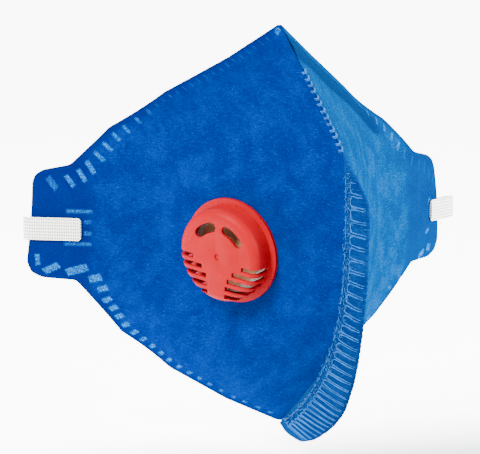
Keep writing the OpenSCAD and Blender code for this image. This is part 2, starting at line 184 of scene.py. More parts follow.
@dataclass
class PanelShape:
    """The open shape of a half-panel, by distance s from the seam and height q.

    Lengths are in metres. The values are those of the frame.
    """

    length: float = 0.117
    nose: float = 0.069
    chin: float = 0.065
    belly: float = 0.029
    tab: float = 0.039
    belly_reach: float = 0.0885
    nose_reach: float = 0.034
    chin_fall: float = 0.054
    chin_power: float = 3.7
    front_angle: float = 57.0
    tab_angle: float = 34.0
    turn_start: float = 0.058
    turn_length: float = 0.034
    half_gap: float = 0.00015
    valve_along: float = 0.043
    valve_height: float = -0.0035
    valve_tilt: float = 10.0
    valve_roll: float = 10.0
    flat_r: float = 0.0235
    flat_fade: float = 0.013
    corner: float = 0.0008

    def __post_init__(self) -> None:
        """Works out the row profile, the outline and the valve's plane."""
        self.step = MM
        count = int(round(self.length / self.step)) + 10
        self.run = np.arange(count + 1) * self.step
        turn = np.radians(self.heading(self.run[:-1] + self.step / 2))
        self.row_x = np.concatenate([[0], np.cumsum(np.cos(turn))]) * self.step
        self.row_y = np.concatenate([[0], np.cumsum(np.sin(turn))]) * self.step
        self.ridge_slope = (self.belly_reach - self.nose_reach) / (self.nose - self.belly)
        self.tab_top = self.tab / 2 + 2 * MM
        self.tab_low = self.tab_top - self.tab
        top, low = self.nose - self.tab_top, self.tab_low + self.chin
        rows = [
            (-self.chin, 0.0), (-self.chin + 0.15 * low, 0.245),
            (-self.chin + 0.36 * low, 0.5), (-self.chin + 0.62 * low, 0.7),
            (-self.chin + 0.88 * low, 0.81), (self.tab_low, 0.86),
            (self.tab_low + 0.6 * MM, 0.96), (self.tab_low + 2.4 * MM, 0.995),
            (self.tab_low + 6 * MM, 1.01), (self.tab_top - 6 * MM, 0.99),
            (self.tab_top - 3.5 * MM, 0.98), (self.tab_top - 1.8 * MM, 0.955),
            (self.tab_top, 0.875), (self.tab_top + 0.1 * top, 0.825),
            (self.tab_top + 0.26 * top, 0.74), (self.tab_top + 0.51 * top, 0.52),
            (self.tab_top + 0.76 * top, 0.24), (self.nose, 0.0),
        ]
        self.rows = np.array(rows)
        self.outline = self.rounded(np.stack([self.rows[:, 1] * self.length, self.rows[:, 0]], 1))
        self.outline_run = np.concatenate(
            [[0], np.cumsum(np.linalg.norm(np.diff(self.outline, axis=0), axis=1))]
        )
        facing, tilt = math.radians(self.front_angle), math.radians(self.valve_tilt)
        self.valve_normal = np.array([
            math.sin(facing) * math.cos(tilt), -math.cos(facing) * math.cos(tilt), -math.sin(tilt),
        ])
        self.valve_at = self.face(np.array([self.valve_along]), np.array([self.valve_height]))[0]

    def rounded(self, line: np.ndarray) -> np.ndarray:
        """The outline with its corners softened.

        Args:
            line: Corner points of the outline, from chin to nose.

        Returns:
            Points 0.5 mm apart.
        """
        fine = even_steps(line, 0.5 * MM)
        reach = int(3 * self.corner / (0.5 * MM))
        k = np.exp(-0.5 * (np.arange(-reach, reach + 1) * 0.5 * MM / self.corner) ** 2)
        k /= k.sum()
        before = 2 * fine[0] - fine[1 : reach + 1][::-1]
        after = 2 * fine[-1] - fine[-reach - 1 : -1][::-1]
        padded = np.vstack([before, fine, after])
        return np.stack([np.convolve(padded[:, i], k, "valid") for i in range(2)], 1)

    def heading(self, s: np.ndarray) -> np.ndarray:
        """Angle of the row to the mask's width at a distance from the seam, in degrees."""
        turned = ease((s - self.turn_start) / self.turn_length)
        return self.front_angle - (self.front_angle - self.tab_angle) * turned

    def keel(self, q: np.ndarray, s: np.ndarray) -> np.ndarray:
        """How far forward the front edge reaches.

        Args:
            q: Heights.
            s: Distances from the seam, which soften the ridge's turn.

        Returns:
            Y of the front edge.
        """
        h, r = q - self.belly, 4 * MM + 0.1 * s
        back = self.chin_fall * (np.maximum(0, -h) / (self.belly + self.chin)) ** self.chin_power
        return -self.belly_reach + self.ridge_slope * (h + np.sqrt(h * h + r * r)) / 2 + back

    def face(self, s: np.ndarray, q: np.ndarray) -> np.ndarray:
        """Points of the right half's plain outer face."""
        return np.stack([
            np.interp(s, self.run, self.row_x),
            self.keel(q, s) + np.interp(s, self.run, self.row_y),
            q,
        ], -1)

    def normal(self, s: np.ndarray, q: np.ndarray) -> np.ndarray:
        """Outward normals of the right half's plain outer face."""
        d = self.step
        along = self.face(s + d, q) - self.face(np.maximum(0, s - d), q)
        up = self.face(s, q + d) - self.face(s, q - d)
        return unit(np.cross(along, up))

    def edge(self, q: np.ndarray) -> np.ndarray:
        """Distance from the seam to the outline at a height."""
        return self.length * np.interp(q, self.rows[:, 0], self.rows[:, 1])

    def start(self, q: np.ndarray, depth: np.ndarray) -> np.ndarray:
        """Distance along the row at which a face at a depth leaves the middle plane."""
        lean = self.normal(np.full_like(q, self.step), q)[:, 0]
        return (lean * depth + self.half_gap) / math.cos(math.radians(self.front_angle))

    def nearest(self, s: np.ndarray, q: np.ndarray) -> tuple[np.ndarray, np.ndarray]:
        """Nearest outline point.

        Args:
            s: Distances from the seam.
            q: Heights.

        Returns:
            The distances to the outline, and the places along it, as numbers of points.
        """
        p = np.stack([s, q], 1)
        a, b = self.outline[:-1], self.outline[1:]
        ab = b - a
        size = (ab**2).sum(1)
        best, where = np.full(len(p), 9.0), np.zeros(len(p))
        for k in range(0, len(p), 4000):
            part = p[k : k + 4000, None]
            t = np.clip(((part - a) * ab).sum(2) / size, 0, 1)
            d = np.linalg.norm(part - (a + t[..., None] * ab), axis=2)
            i = d.argmin(1)
            n = np.arange(len(i))
            best[k : k + 4000] = d[n, i]
            where[k : k + 4000] = i + t[n, i]
        return best, where

    def inside(self, s: np.ndarray, q: np.ndarray) -> np.ndarray:
        """Whether points lie inside the outline."""
        a, b = self.outline[:-1], self.outline[1:]
        hit = np.zeros(len(s), bool)
        for (s0, q0), (s1, q1) in zip(a, b):
            if q0 == q1:
                continue
            crosses = (q0 <= q) != (q1 <= q)
            hit ^= crosses & (s < s0 + (q - q0) / (q1 - q0) * (s1 - s0))
        return hit

    def on_outline(self, where: np.ndarray) -> np.ndarray:
        """Outline points at places along it, as numbers of points."""
        n = np.arange(len(self.outline))
        return np.stack([np.interp(where, n, self.outline[:, i]) for i in range(2)], 1)

    def at_run(self, run: np.ndarray) -> tuple[np.ndarray, np.ndarray]:
        """Outline points and inward normals at distances along the outline.

        Args:
            run: Distances from the chin.

        Returns:
            Points (s, q), and unit inward normals.
        """
        def point(r: np.ndarray) -> np.ndarray:
            """Outline points at distances from the chin."""
            return np.stack([np.interp(r, self.outline_run, self.outline[:, i]) for i in range(2)], -1)

        t = unit(point(run + 2 * MM) - point(run - 2 * MM))
        return point(run), np.stack([-t[..., 1], t[..., 0]], -1)

    def flatness(self, p: np.ndarray) -> np.ndarray:
        """How far the valve's flange flattens the web at points of the right half."""
        away = np.linalg.norm(p - self.valve_at, axis=1)
        return 1 - ease((away - self.flat_r) / self.flat_fade)

    def point(self, s: np.ndarray, q: np.ndarray, depth: np.ndarray, side: Side) -> np.ndarray:
        """Points at a depth below the outer face of one half.

        Args:
            s: Distances from the seam.
            q: Heights.
            depth: Depths below the outer face.
            side: The half.

        Returns:
            Points in the object's frame.
        """
        p, n = self.face(s, q), self.normal(s, q)
        w = self.flatness(p)[:, None] if side is Side.LEFT else np.zeros((len(s), 1))
        m = unit(n * (1 - w) + self.valve_normal * w)
        lift = ((p - self.valve_at) @ self.valve_normal)[:, None] * w
        p = p - self.valve_normal * lift - m * depth[:, None]
        p[:, 0] *= side.value
        return p

    def valve_frame(self) -> tuple[np.ndarray, np.ndarray]:
        """Origin and axes (as columns: right, up, out) of the valve on the left half."""
        up = unit(np.array([0, 0, 1.0]) - self.valve_normal * self.valve_normal[2])
        right = np.cross(up, self.valve_normal)
        roll = math.radians(self.valve_roll)
        axes = np.stack([
            right * math.cos(roll) + up * math.sin(roll),
            up * math.cos(roll) - right * math.sin(roll),
            self.valve_normal,
        ], 1)
        mirror = np.array([-1.0, 1, 1])
        return self.valve_at * mirror, axes * mirror[:, None]

    # The sewn edge

    def keel_point(self, q: np.ndarray) -> np.ndarray:
        """Points of the front edge in the middle plane."""
        return np.stack([np.zeros_like(q), self.keel(q, np.zeros_like(q)), q], -1)

    def keel_along(self, q: np.ndarray) -> np.ndarray:
        """Upward directions along the front edge."""
        half = 0.5 * MM
        return unit(self.keel_point(q + half) - self.keel_point(q - half))

    def keel_out(self, q: np.ndarray) -> np.ndarray:
        """Forward directions square to the front edge."""
        t = self.keel_along(q)
        return np.stack([np.zeros_like(q), -t[:, 2], t[:, 1]], -1)


# ---------------------------------------------------------------- mesh helpers


def layout(bm: bmesh.types.BMesh, points: np.ndarray) -> list[bmesh.types.BMVert]:
    """Adds a grid of quads whose corners lie at the given points.

    Args:
        bm: The mesh being built.
        points: Array of rows by columns by 3.

    Returns:
        The new vertices, row by row.
    """
    rows, columns = points.shape[:2]
    made = bmesh.ops.create_grid(bm, x_segments=columns - 1, y_segments=rows - 1, size=0.5)
    ordered: list[Optional[bmesh.types.BMVert]] = [None] * (rows * columns)
    for v in made["verts"]:
        i = round((v.co.x + 0.5) * (columns - 1))
        j = round((v.co.y + 0.5) * (rows - 1))
        ordered[j * columns + i] = v
        v.co = Vector(points[j, i])
    return ordered


def close(bm: bmesh.types.BMesh, weld: float = 1e-7) -> None:
    """Welds doubled corners, fills open ends and turns the faces outwards."""
    bmesh.ops.remove_doubles(bm, verts=bm.verts, dist=weld)
    bmesh.ops.holes_fill(bm, edges=[e for e in bm.edges if e.is_boundary], sides=0)
    bmesh.ops.recalc_face_normals(bm, faces=bm.faces)


def tube(
    bm: bmesh.types.BMesh, path: np.ndarray, radius: float, sides: int = 6,
    taper: float = 1.0, flat: float = 1.0, up: Optional[np.ndarray] = None,
) -> None:
    """Adds a round or oval tube along a path.

    Args:
        bm: The mesh being built.
        path: Points along the middle.
        radius: Half the tube's width.
        sides: Sides of its section.
        taper: Size of the two ends, as a share of the middle.
        flat: Height of the section as a share of its width.
        up: Direction of the section's height at each point.
    """
    t = unit(np.gradient(path, axis=0))
    if up is None:
        up = np.broadcast_to([0.31, 0.22, 0.92], path.shape)
    across = unit(np.cross(t, up))
    high = np.cross(across, t)
    turn = np.linspace(0, 2 * math.pi, sides + 1)
    k = np.linspace(0, 1, len(path))
    size = radius * (taper + (1 - taper) * ease(np.minimum(k, 1 - k) * 5))
    ring = (across[:, None] * np.cos(turn)[None, :, None]
            + high[:, None] * np.sin(turn)[None, :, None] * flat)
    layout(bm, path[:, None] + ring * size[:, None, None])


def finish_mesh(name: str, bm: bmesh.types.BMesh, smooth: float = 40.0) -> bpy.types.Object:
    """Turns a finished bmesh into a piece.

    Args:
        name: The piece's name.
        bm: Its mesh, which is freed.
        smooth: Edges sharper than this many degrees stay sharp.

    Returns:
        The new object, at the origin.
    """
    for f in bm.faces:
        f.smooth = True
    limit = math.radians(smooth)
    for e in bm.edges:
        e.smooth = not e.is_manifold or e.calc_face_angle(0.0) < limit
    mesh = bpy.data.meshes.new(name)
    bm.to_mesh(mesh)
    bm.free()
    piece = bpy.data.objects.new(name, mesh)
    bpy.context.scene.collection.objects.link(piece)
    return piece


def strip_uv(piece: bpy.types.Object, values: dict[int, tuple[float, float]]) -> None:
    """Gives a piece a UV map from one pair of values a vertex."""
    layer = piece.data.uv_layers.new(name="grain")
    index = np.zeros(len(piece.data.loops), int)
    piece.data.loops.foreach_get("vertex_index", index)
    table = np.zeros((len(piece.data.vertices), 2))
    for k, pair in values.items():
        table[k] = pair
    layer.data.foreach_set("uv", table[index].astype(np.float32).ravel())


def point_values(piece: bpy.types.Object, name: str, values: np.ndarray) -> None:
    """Stores one number a vertex on a piece."""
    layer = piece.data.attributes.new(name, "FLOAT", "POINT")
    layer.data.foreach_set("value", values.astype(np.float32))


# -------------------------------------------------------------------- finishes


class Nodes:
    """Short way to lay out a material's nodes."""

    def __init__(self, name: str) -> None:
        """Starts a material with one Principled shader.

        Args:
            name: The material's name.
        """
        self.material = bpy.data.materials.new(name)
        self.material.use_nodes = True
        self.tree = self.material.node_tree
        self.tree.nodes.clear()
        self.shader = self.tree.nodes.new("ShaderNodeBsdfPrincipled")
        out = self.tree.nodes.new("ShaderNodeOutputMaterial")
        self.tree.links.new(self.shader.outputs["BSDF"], out.inputs["Surface"])

    def put(self, target: bpy.types.NodeSocket, value: object) -> None:
        """Links or sets a socket."""
        if isinstance(value, bpy.types.NodeSocket):
            self.tree.links.new(value, target)
        else:
            target.default_value = value

    def constants(self, **values: object) -> None:
        """Sets the shader's own sockets, named with underscores for spaces."""
        for name, value in values.items():
            self.shader.inputs[name.replace("_", " ")].default_value = value

    def where(self, uv: bool, scale: Sequence[float] = (1, 1, 1), turn: float = 0.0) -> bpy.types.NodeSocket:
        """Coordinates to lay a pattern on.

        Args:
            uv: True for the piece's own UV map, False for Object coordinates.
            scale: Scale on each axis.
            turn: Turn about Z, in degrees.

        Returns:
            The mapped vector.
        """
        if uv:
            source = self.tree.nodes.new("ShaderNodeUVMap")
            source.uv_map = "grain"
            vector = source.outputs["UV"]
        else:
            vector = self.tree.nodes.new("ShaderNodeTexCoord").outputs["Object"]
        mapping = self.tree.nodes.new("ShaderNodeMapping")
        mapping.inputs["Rotation"].default_value = (0, 0, math.radians(turn))
        mapping.inputs["Scale"].default_value = tuple(scale)
        self.put(mapping.inputs["Vector"], vector)
        return mapping.outputs["Vector"]

    def axis(self, index: int) -> bpy.types.NodeSocket:
        """One of the piece's own coordinates, in metres."""
        node = self.tree.nodes.new("ShaderNodeSeparateXYZ")
        self.tree.links.new(self.where(False), node.inputs[0])
        return node.outputs[index]

    def noise(self, vector: bpy.types.NodeSocket, scale: float, detail: float = 3.0,
              rough: float = 0.55, warp: float = 0.0) -> bpy.types.NodeSocket:
        """Noise from 0 to 1 over a vector."""
        node = self.tree.nodes.new("ShaderNodeTexNoise")
        node.inputs["Scale"].default_value = scale
        node.inputs["Detail"].default_value = detail
        node.inputs["Roughness"].default_value = rough
        node.inputs["Distortion"].default_value = warp
        self.put(node.inputs["Vector"], vector)
        return node.outputs["Fac"]

    def cells(self, vector: bpy.types.NodeSocket, scale: float, jitter: float = 1.0) -> bpy.types.NodeSocket:
        """Distance to the nearest of scattered or even dots."""
        node = self.tree.nodes.new("ShaderNodeTexVoronoi")
        node.inputs["Scale"].default_value = scale
        node.inputs["Randomness"].default_value = jitter
        self.put(node.inputs["Vector"], vector)
        return node.outputs["Distance"]

    def maths(self, kind: str, a: object, b: object = 0.0, c: object = 0.0) -> bpy.types.NodeSocket:
        """A Math node."""
        node = self.tree.nodes.new("ShaderNodeMath")
        node.operation = kind
        for socket, value in zip(node.inputs, (a, b, c)):
            self.put(socket, value)
        return node.outputs[0]

    def span(self, value: object, low: float, high: float, to_low: float = 0.0,
             to_high: float = 1.0) -> bpy.types.NodeSocket:
        """A value carried smoothly from one range to another."""
        node = self.tree.nodes.new("ShaderNodeMapRange")
        node.interpolation_type = "SMOOTHSTEP"
        for name, v in (("Value", value), ("From Min", low), ("From Max", high),
                        ("To Min", to_low), ("To Max", to_high)):
            self.put(node.inputs[name], v)
        return node.outputs["Result"]

    def blend(self, amount: object, a: object, b: object) -> bpy.types.NodeSocket:
        """Two colours mixed."""
        node = self.tree.nodes.new("ShaderNodeMix")
        node.data_type = "RGBA"
        for socket, value in ((node.inputs[0], amount), (node.inputs[6], a), (node.inputs[7], b)):
            self.put(socket, (*value, 1.0) if isinstance(value, tuple) else value)
        return node.outputs[2]

    def stored(self, name: str) -> bpy.types.NodeSocket:
        """A number stored on the piece's vertices."""
        node = self.tree.nodes.new("ShaderNodeAttribute")
        node.attribute_name = name
        return node.outputs["Fac"]

    def bump(self, height: bpy.types.NodeSocket, distance: float, strength: float,
             under: Optional[bpy.types.NodeSocket] = None) -> bpy.types.NodeSocket:
        """A bump, over another where given."""
        node = self.tree.nodes.new("ShaderNodeBump")
        node.inputs["Distance"].default_value = distance
        node.inputs["Strength"].default_value = strength
        self.put(node.inputs["Height"], height)
        if under is not None:
            self.put(node.inputs["Normal"], under)
        return node.outputs["Normal"]


Colour = tuple[float, float, float]


@dataclass(frozen=True)
class Nonwoven:
    """Felted polypropylene web, denser where pressed and fused to film in the weld marks, with painted shade
    where the rim values pass 1.
    """

    name: str
    deep: Colour
    light: Colour
    pressed: Colour
    fused: Colour
    fleck: Colour
    sheen: Colour
    sheen_weight: float = 0.14
    coarse: float = 1.0
    flecked: float = 0.1

    def make(self) -> bpy.types.Material:
        """Builds the material.

        Returns:
            The material.
        """
        n = Nodes(self.name)
        c = self.coarse
        fibres = n.noise(n.where(True, (620 * c, 3000 * c, 1), 40), 1.0, 2.0, 0.6, 0.9)
        crossed = n.noise(n.where(True, (700 * c, 2700 * c, 1), -31), 1.0, 2.0, 0.6, 0.9)
        felt = n.maths("MAXIMUM", fibres, crossed)
        clouds = n.noise(n.where(True), 120.0, 3.0, 0.65, 0.4)
        speck = n.noise(n.where(True), 1500.0 * c, 3.0, 0.8)
        tone = n.maths("MULTIPLY_ADD", n.span(clouds, 0.3, 0.7), 0.3, n.maths(
            "MULTIPLY_ADD", n.span(felt, 0.42, 0.8), 0.4, n.maths("MULTIPLY", n.span(speck, 0.3, 0.7), 0.3)))
        cloth = n.blend(n.span(tone, 0.1, 0.95), self.deep, self.light)
        dots = n.cells(n.where(True, (330 * c, 1150 * c, 1), 34), 1.0)
        lit = n.maths("MULTIPLY", n.span(dots, 0.06, 0.2, self.flecked, 0.0), n.span(speck, 0.35, 0.6))
        cloth = n.blend(lit, cloth, self.fleck)
        rim, weld = n.stored("rim"), n.stored("weld")
        cloth = n.blend(n.maths("MULTIPLY", rim, n.span(speck, 0.2, 0.75, 0.95, 0.6)), cloth, self.pressed)
        # Painted shade: rim values above 1 mark the band beside the top edge, which is darkened further here
        # to stand in for shade.
        drawn = tuple(0.62 * part for part in self.pressed)
        cloth = n.blend(n.span(rim, 1.0, 1.8, 0.0, 0.9), cloth, drawn)
        grit = n.noise(n.where(True), 2300.0, 3.0, 0.75)
        film = n.blend(n.maths("MULTIPLY", n.span(grit, 0.47, 0.62), weld), self.fused, self.fleck)
        patchy = n.noise(n.where(True), 700.0, 2.0, 0.5)
        amount = n.maths("MULTIPLY", n.span(weld, 0.1, 0.8), n.span(patchy, 0.3, 0.6, 0.45, 1.0))
        n.put(n.shader.inputs["Base Color"], n.blend(amount, cloth, film))
        n.put(n.shader.inputs["Roughness"], n.maths("MULTIPLY_ADD", weld, -0.35, 0.95))
        rough = n.bump(felt, 0.0002, 0.5)
        rough = n.bump(clouds, 0.0008, 0.3, rough)
        n.put(n.shader.inputs["Normal"], n.bump(n.maths("MULTIPLY", grit, weld), 0.0003, 0.5, rough))
        n.constants(Specular_IOR_Level=0.0, Sheen_Weight=self.sheen_weight, Sheen_Roughness=0.5,
                    Sheen_Tint=(*self.sheen, 1.0))
        return n.material


@dataclass(frozen=True)
class Yarn:
    """Textured sewing thread."""

    name: str
    deep: Colour
    light: Colour

    def make(self) -> bpy.types.Material:
        """Builds the material.

        Returns:
            The material.
        """
        n = Nodes(self.name)
        ply = n.noise(n.where(False), 1700.0, 3.0, 0.7, 1.2)
        drift = n.noise(n.where(False), 160.0, 2.0)
        tone = n.maths("MULTIPLY_ADD", ply, 0.7, n.maths("MULTIPLY", drift, 0.3))
        n.put(n.shader.inputs["Base Color"], n.blend(n.span(tone, 0.3, 0.7), self.deep, self.light))
        n.put(n.shader.inputs["Normal"], n.bump(ply, 0.0002, 0.7))
        n.constants(Roughness=0.75, Specular_IOR_Level=0.12, Sheen_Weight=0.35,
                    Sheen_Roughness=0.4, Sheen_Tint=(*self.light, 1.0))
        return n.material


@dataclass(frozen=True)
class Moulded:
    """Injection-moulded plastic with a faint grain."""

    name: str
    colour: Colour
    shade: Colour
    roughness: float = 0.38
    specular: float = 0.3
    glow: float = 0.0

    def make(self) -> bpy.types.Material:
        """Builds the material.

        Returns:
            The material.
        """
        n = Nodes(self.name)
        flow = n.noise(n.where(False, (1, 1, 2.2), 20), 70.0, 3.0, 0.5, 0.8)
        grain = n.noise(n.where(False), 2400.0, 2.0, 0.6)
        n.put(n.shader.inputs["Base Color"], n.blend(n.span(flow, 0.3, 0.75), self.colour, self.shade))
        rough = n.span(grain, 0.2, 0.8, self.roughness - 0.06, self.roughness + 0.08)
        n.put(n.shader.inputs["Roughness"], rough)
        n.put(n.shader.inputs["Normal"], n.bump(grain, 0.00006, 0.3))
        n.constants(Specular_IOR_Level=self.specular, Subsurface_Weight=self.glow,
                    Subsurface_Scale=0.001, Subsurface_Radius=(1.0, 0.35, 0.3))
        return n.material


@dataclass(frozen=True)
class Knit:
    """Flat knitted elastic: rows of small stitches along the band."""

    name: str
    thread: Colour = (0.86, 0.85, 0.82)
    # Painted shade: the grey of the holes between stitches.
    hole_shade: Colour = (0.22, 0.22, 0.23)
    wale: float = 0.00105
    course: float = 0.0008

    def make(self) -> bpy.types.Material:
        """Builds the material.

        Returns:
            The material.
        """
        n = Nodes(self.name)
        dots = n.cells(n.where(True, (1 / self.course, 1 / self.wale, 1)), 1.0, 0.12)
        fluff = n.noise(n.where(True), 4000.0, 2.0, 0.6)
        # Painted shade: the holes between stitches take a grey for the shade inside them.
        hole = n.span(n.maths("MULTIPLY_ADD", fluff, 0.12, dots), 0.28, 0.46, 1.0, 0.0)
        n.put(n.shader.inputs["Base Color"], n.blend(hole, self.thread, self.hole_shade))
        knit = n.bump(dots, 0.0004, 0.5)
        n.put(n.shader.inputs["Normal"], n.bump(fluff, 0.0001, 0.3, knit))
        n.constants(Roughness=0.85, Specular_IOR_Level=0.1, Sheen_Weight=0.2, Sheen_Roughness=0.5)
        return n.material


@dataclass(frozen=True)
class Strip:
    """Rolled aluminium strip."""

    name: str
    colour: Colour = (0.72, 0.73, 0.75)

    def make(self) -> bpy.types.Material:
        """Builds the material.

        Returns:
            The material.
        """
        n = Nodes(self.name)
        rolled = n.noise(n.where(False, (40, 2500, 2500)), 1.0, 3.0, 0.6)
        n.put(n.shader.inputs["Roughness"], n.span(rolled, 0.2, 0.8, 0.24, 0.42))
        n.put(n.shader.inputs["Base Color"], n.blend(rolled, self.colour, (0.6, 0.61, 0.64)))
        n.put(n.shader.inputs["Normal"], n.bump(rolled, 0.00003, 0.3))
        n.constants(Metallic=1.0)
        return n.material


@dataclass
class Palette:
    """Every finish of the respirator, made once."""

    # The left cover's pressed tone, darker than its open felt, darkens the rim and tab: partly pressed felt,
    # partly painted shade on the tab.
    cover: Nonwoven = Nonwoven("cover_felt", (0.0, 0.006, 0.075), (0.0, 0.022, 0.15), (0.0, 0.004, 0.065),
                               (0.0, 0.03, 0.18), (0.015, 0.25, 0.6), (0.0, 0.15, 0.5))
    # Painted light: the right half's cover is a lighter, greener copy of the left cover's felt with more pale
    # flecks, standing in for the stronger light and sheen on that side.
    cover_right: Nonwoven = Nonwoven("cover_felt_right_painted_light", (0.0, 0.014, 0.08), (0.0, 0.05, 0.165),
                                     (0.0, 0.013, 0.08), (0.0, 0.035, 0.18), (0.02, 0.22, 0.52),
                                     (0.0, 0.2, 0.5), 0.14, 1.0, 0.3)
    hem: Nonwoven = Nonwoven("seam_felt", (0.0, 0.01, 0.07), (0.0, 0.03, 0.14), (0.0, 0.01, 0.07),
                             (0.0, 0.05, 0.3), (0.02, 0.17, 0.46), (0.0, 0.15, 0.5), 0.14, 1.3, 0.3)
    support: Nonwoven = Nonwoven("support_web", (0.62, 0.66, 0.7), (0.86, 0.88, 0.9), (0.7, 0.72, 0.75),
                                 (0.9, 0.9, 0.9), (0.9, 0.9, 0.9), (1, 1, 1), 0.1, 0.8)
    media: Nonwoven = Nonwoven("filter_web", (0.75, 0.76, 0.76), (0.92, 0.92, 0.91), (0.8, 0.8, 0.8),
                               (0.9, 0.9, 0.9), (0.95, 0.95, 0.95), (1, 1, 1), 0.2, 1.6)
    lining: Nonwoven = Nonwoven("lining_web", (0.6, 0.66, 0.7), (0.84, 0.88, 0.9), (0.5, 0.6, 0.68),
                                (0.75, 0.82, 0.88), (0.9, 0.92, 0.94), (1, 1, 1), 0.15, 0.9)
    needle: Yarn = Yarn("needle_yarn", (0.001, 0.035, 0.15), (0.01, 0.11, 0.36))
    looper: Yarn = Yarn("looper_yarn", (0.001, 0.04, 0.18), (0.012, 0.13, 0.42))
    ridge: Yarn = Yarn("ridge_yarn", (0.001, 0.035, 0.17), (0.015, 0.11, 0.38))
    coral: Moulded = Moulded("valve_plastic", (0.27, 0.0008, 0.005), (0.245, 0.0006, 0.004), 0.45, 0.05, 0.02)
    seat: Moulded = Moulded("seat_plastic", (0.62, 0.6, 0.54), (0.55, 0.53, 0.47), 0.4, 0.4)
    rubber: Moulded = Moulded("flap_rubber", (0.52, 0.27, 0.14), (0.45, 0.22, 0.11), 0.55, 0.2)
    elastic: Knit = Knit("knitted_elastic")
    metal: Strip = Strip("clip_metal")
    made: dict[str, bpy.types.Material] = field(default_factory=dict)

    def dress(self, piece: bpy.types.Object, finish: str, slot: str) -> bpy.types.Object:
        """Gives a piece its finish.

        Args:
            piece: The piece.
            finish: Field name of the finish.
            slot: Slot name in the record; not used.

        Returns:
            The piece.
        """
        if finish not in self.made:
            self.made[finish] = getattr(self, finish).make()
        piece.data.materials.clear()
        piece.data.materials.append(self.made[finish])
        return piece


# ------------------------------------------------------------------- the webs


@dataclass(frozen=True)
class Web:
    """One web of the laminate: its faces' depths in the open and at the welded rim."""

    node: str
    depth: float
    thick: float
    rim_depth: float
    rim_thick: float
    finish: str
    slot: str
    cell: float


@dataclass(frozen=True)
class Mark:
    """One fused bar of the weld pattern, on the panel's own coordinates."""

    s: float
    q: float
    along: tuple[float, float]
    long: float
    wide: float
    slant: float = 0.0
    weight: float = 1.0

    def distance(self, s: np.ndarray, q: np.ndarray) -> np.ndarray:
        """Signed distance to the bar's edge, positive inside."""
        ax = np.array(self.along) / math.hypot(*self.along)
        u = (s - self.s) * ax[0] + (q - self.q) * ax[1]
        v = -(s - self.s) * ax[1] + (q - self.q) * ax[0] - self.slant * u
        return np.minimum(self.long / 2 - np.abs(u), self.wide / 2 - np.abs(v))


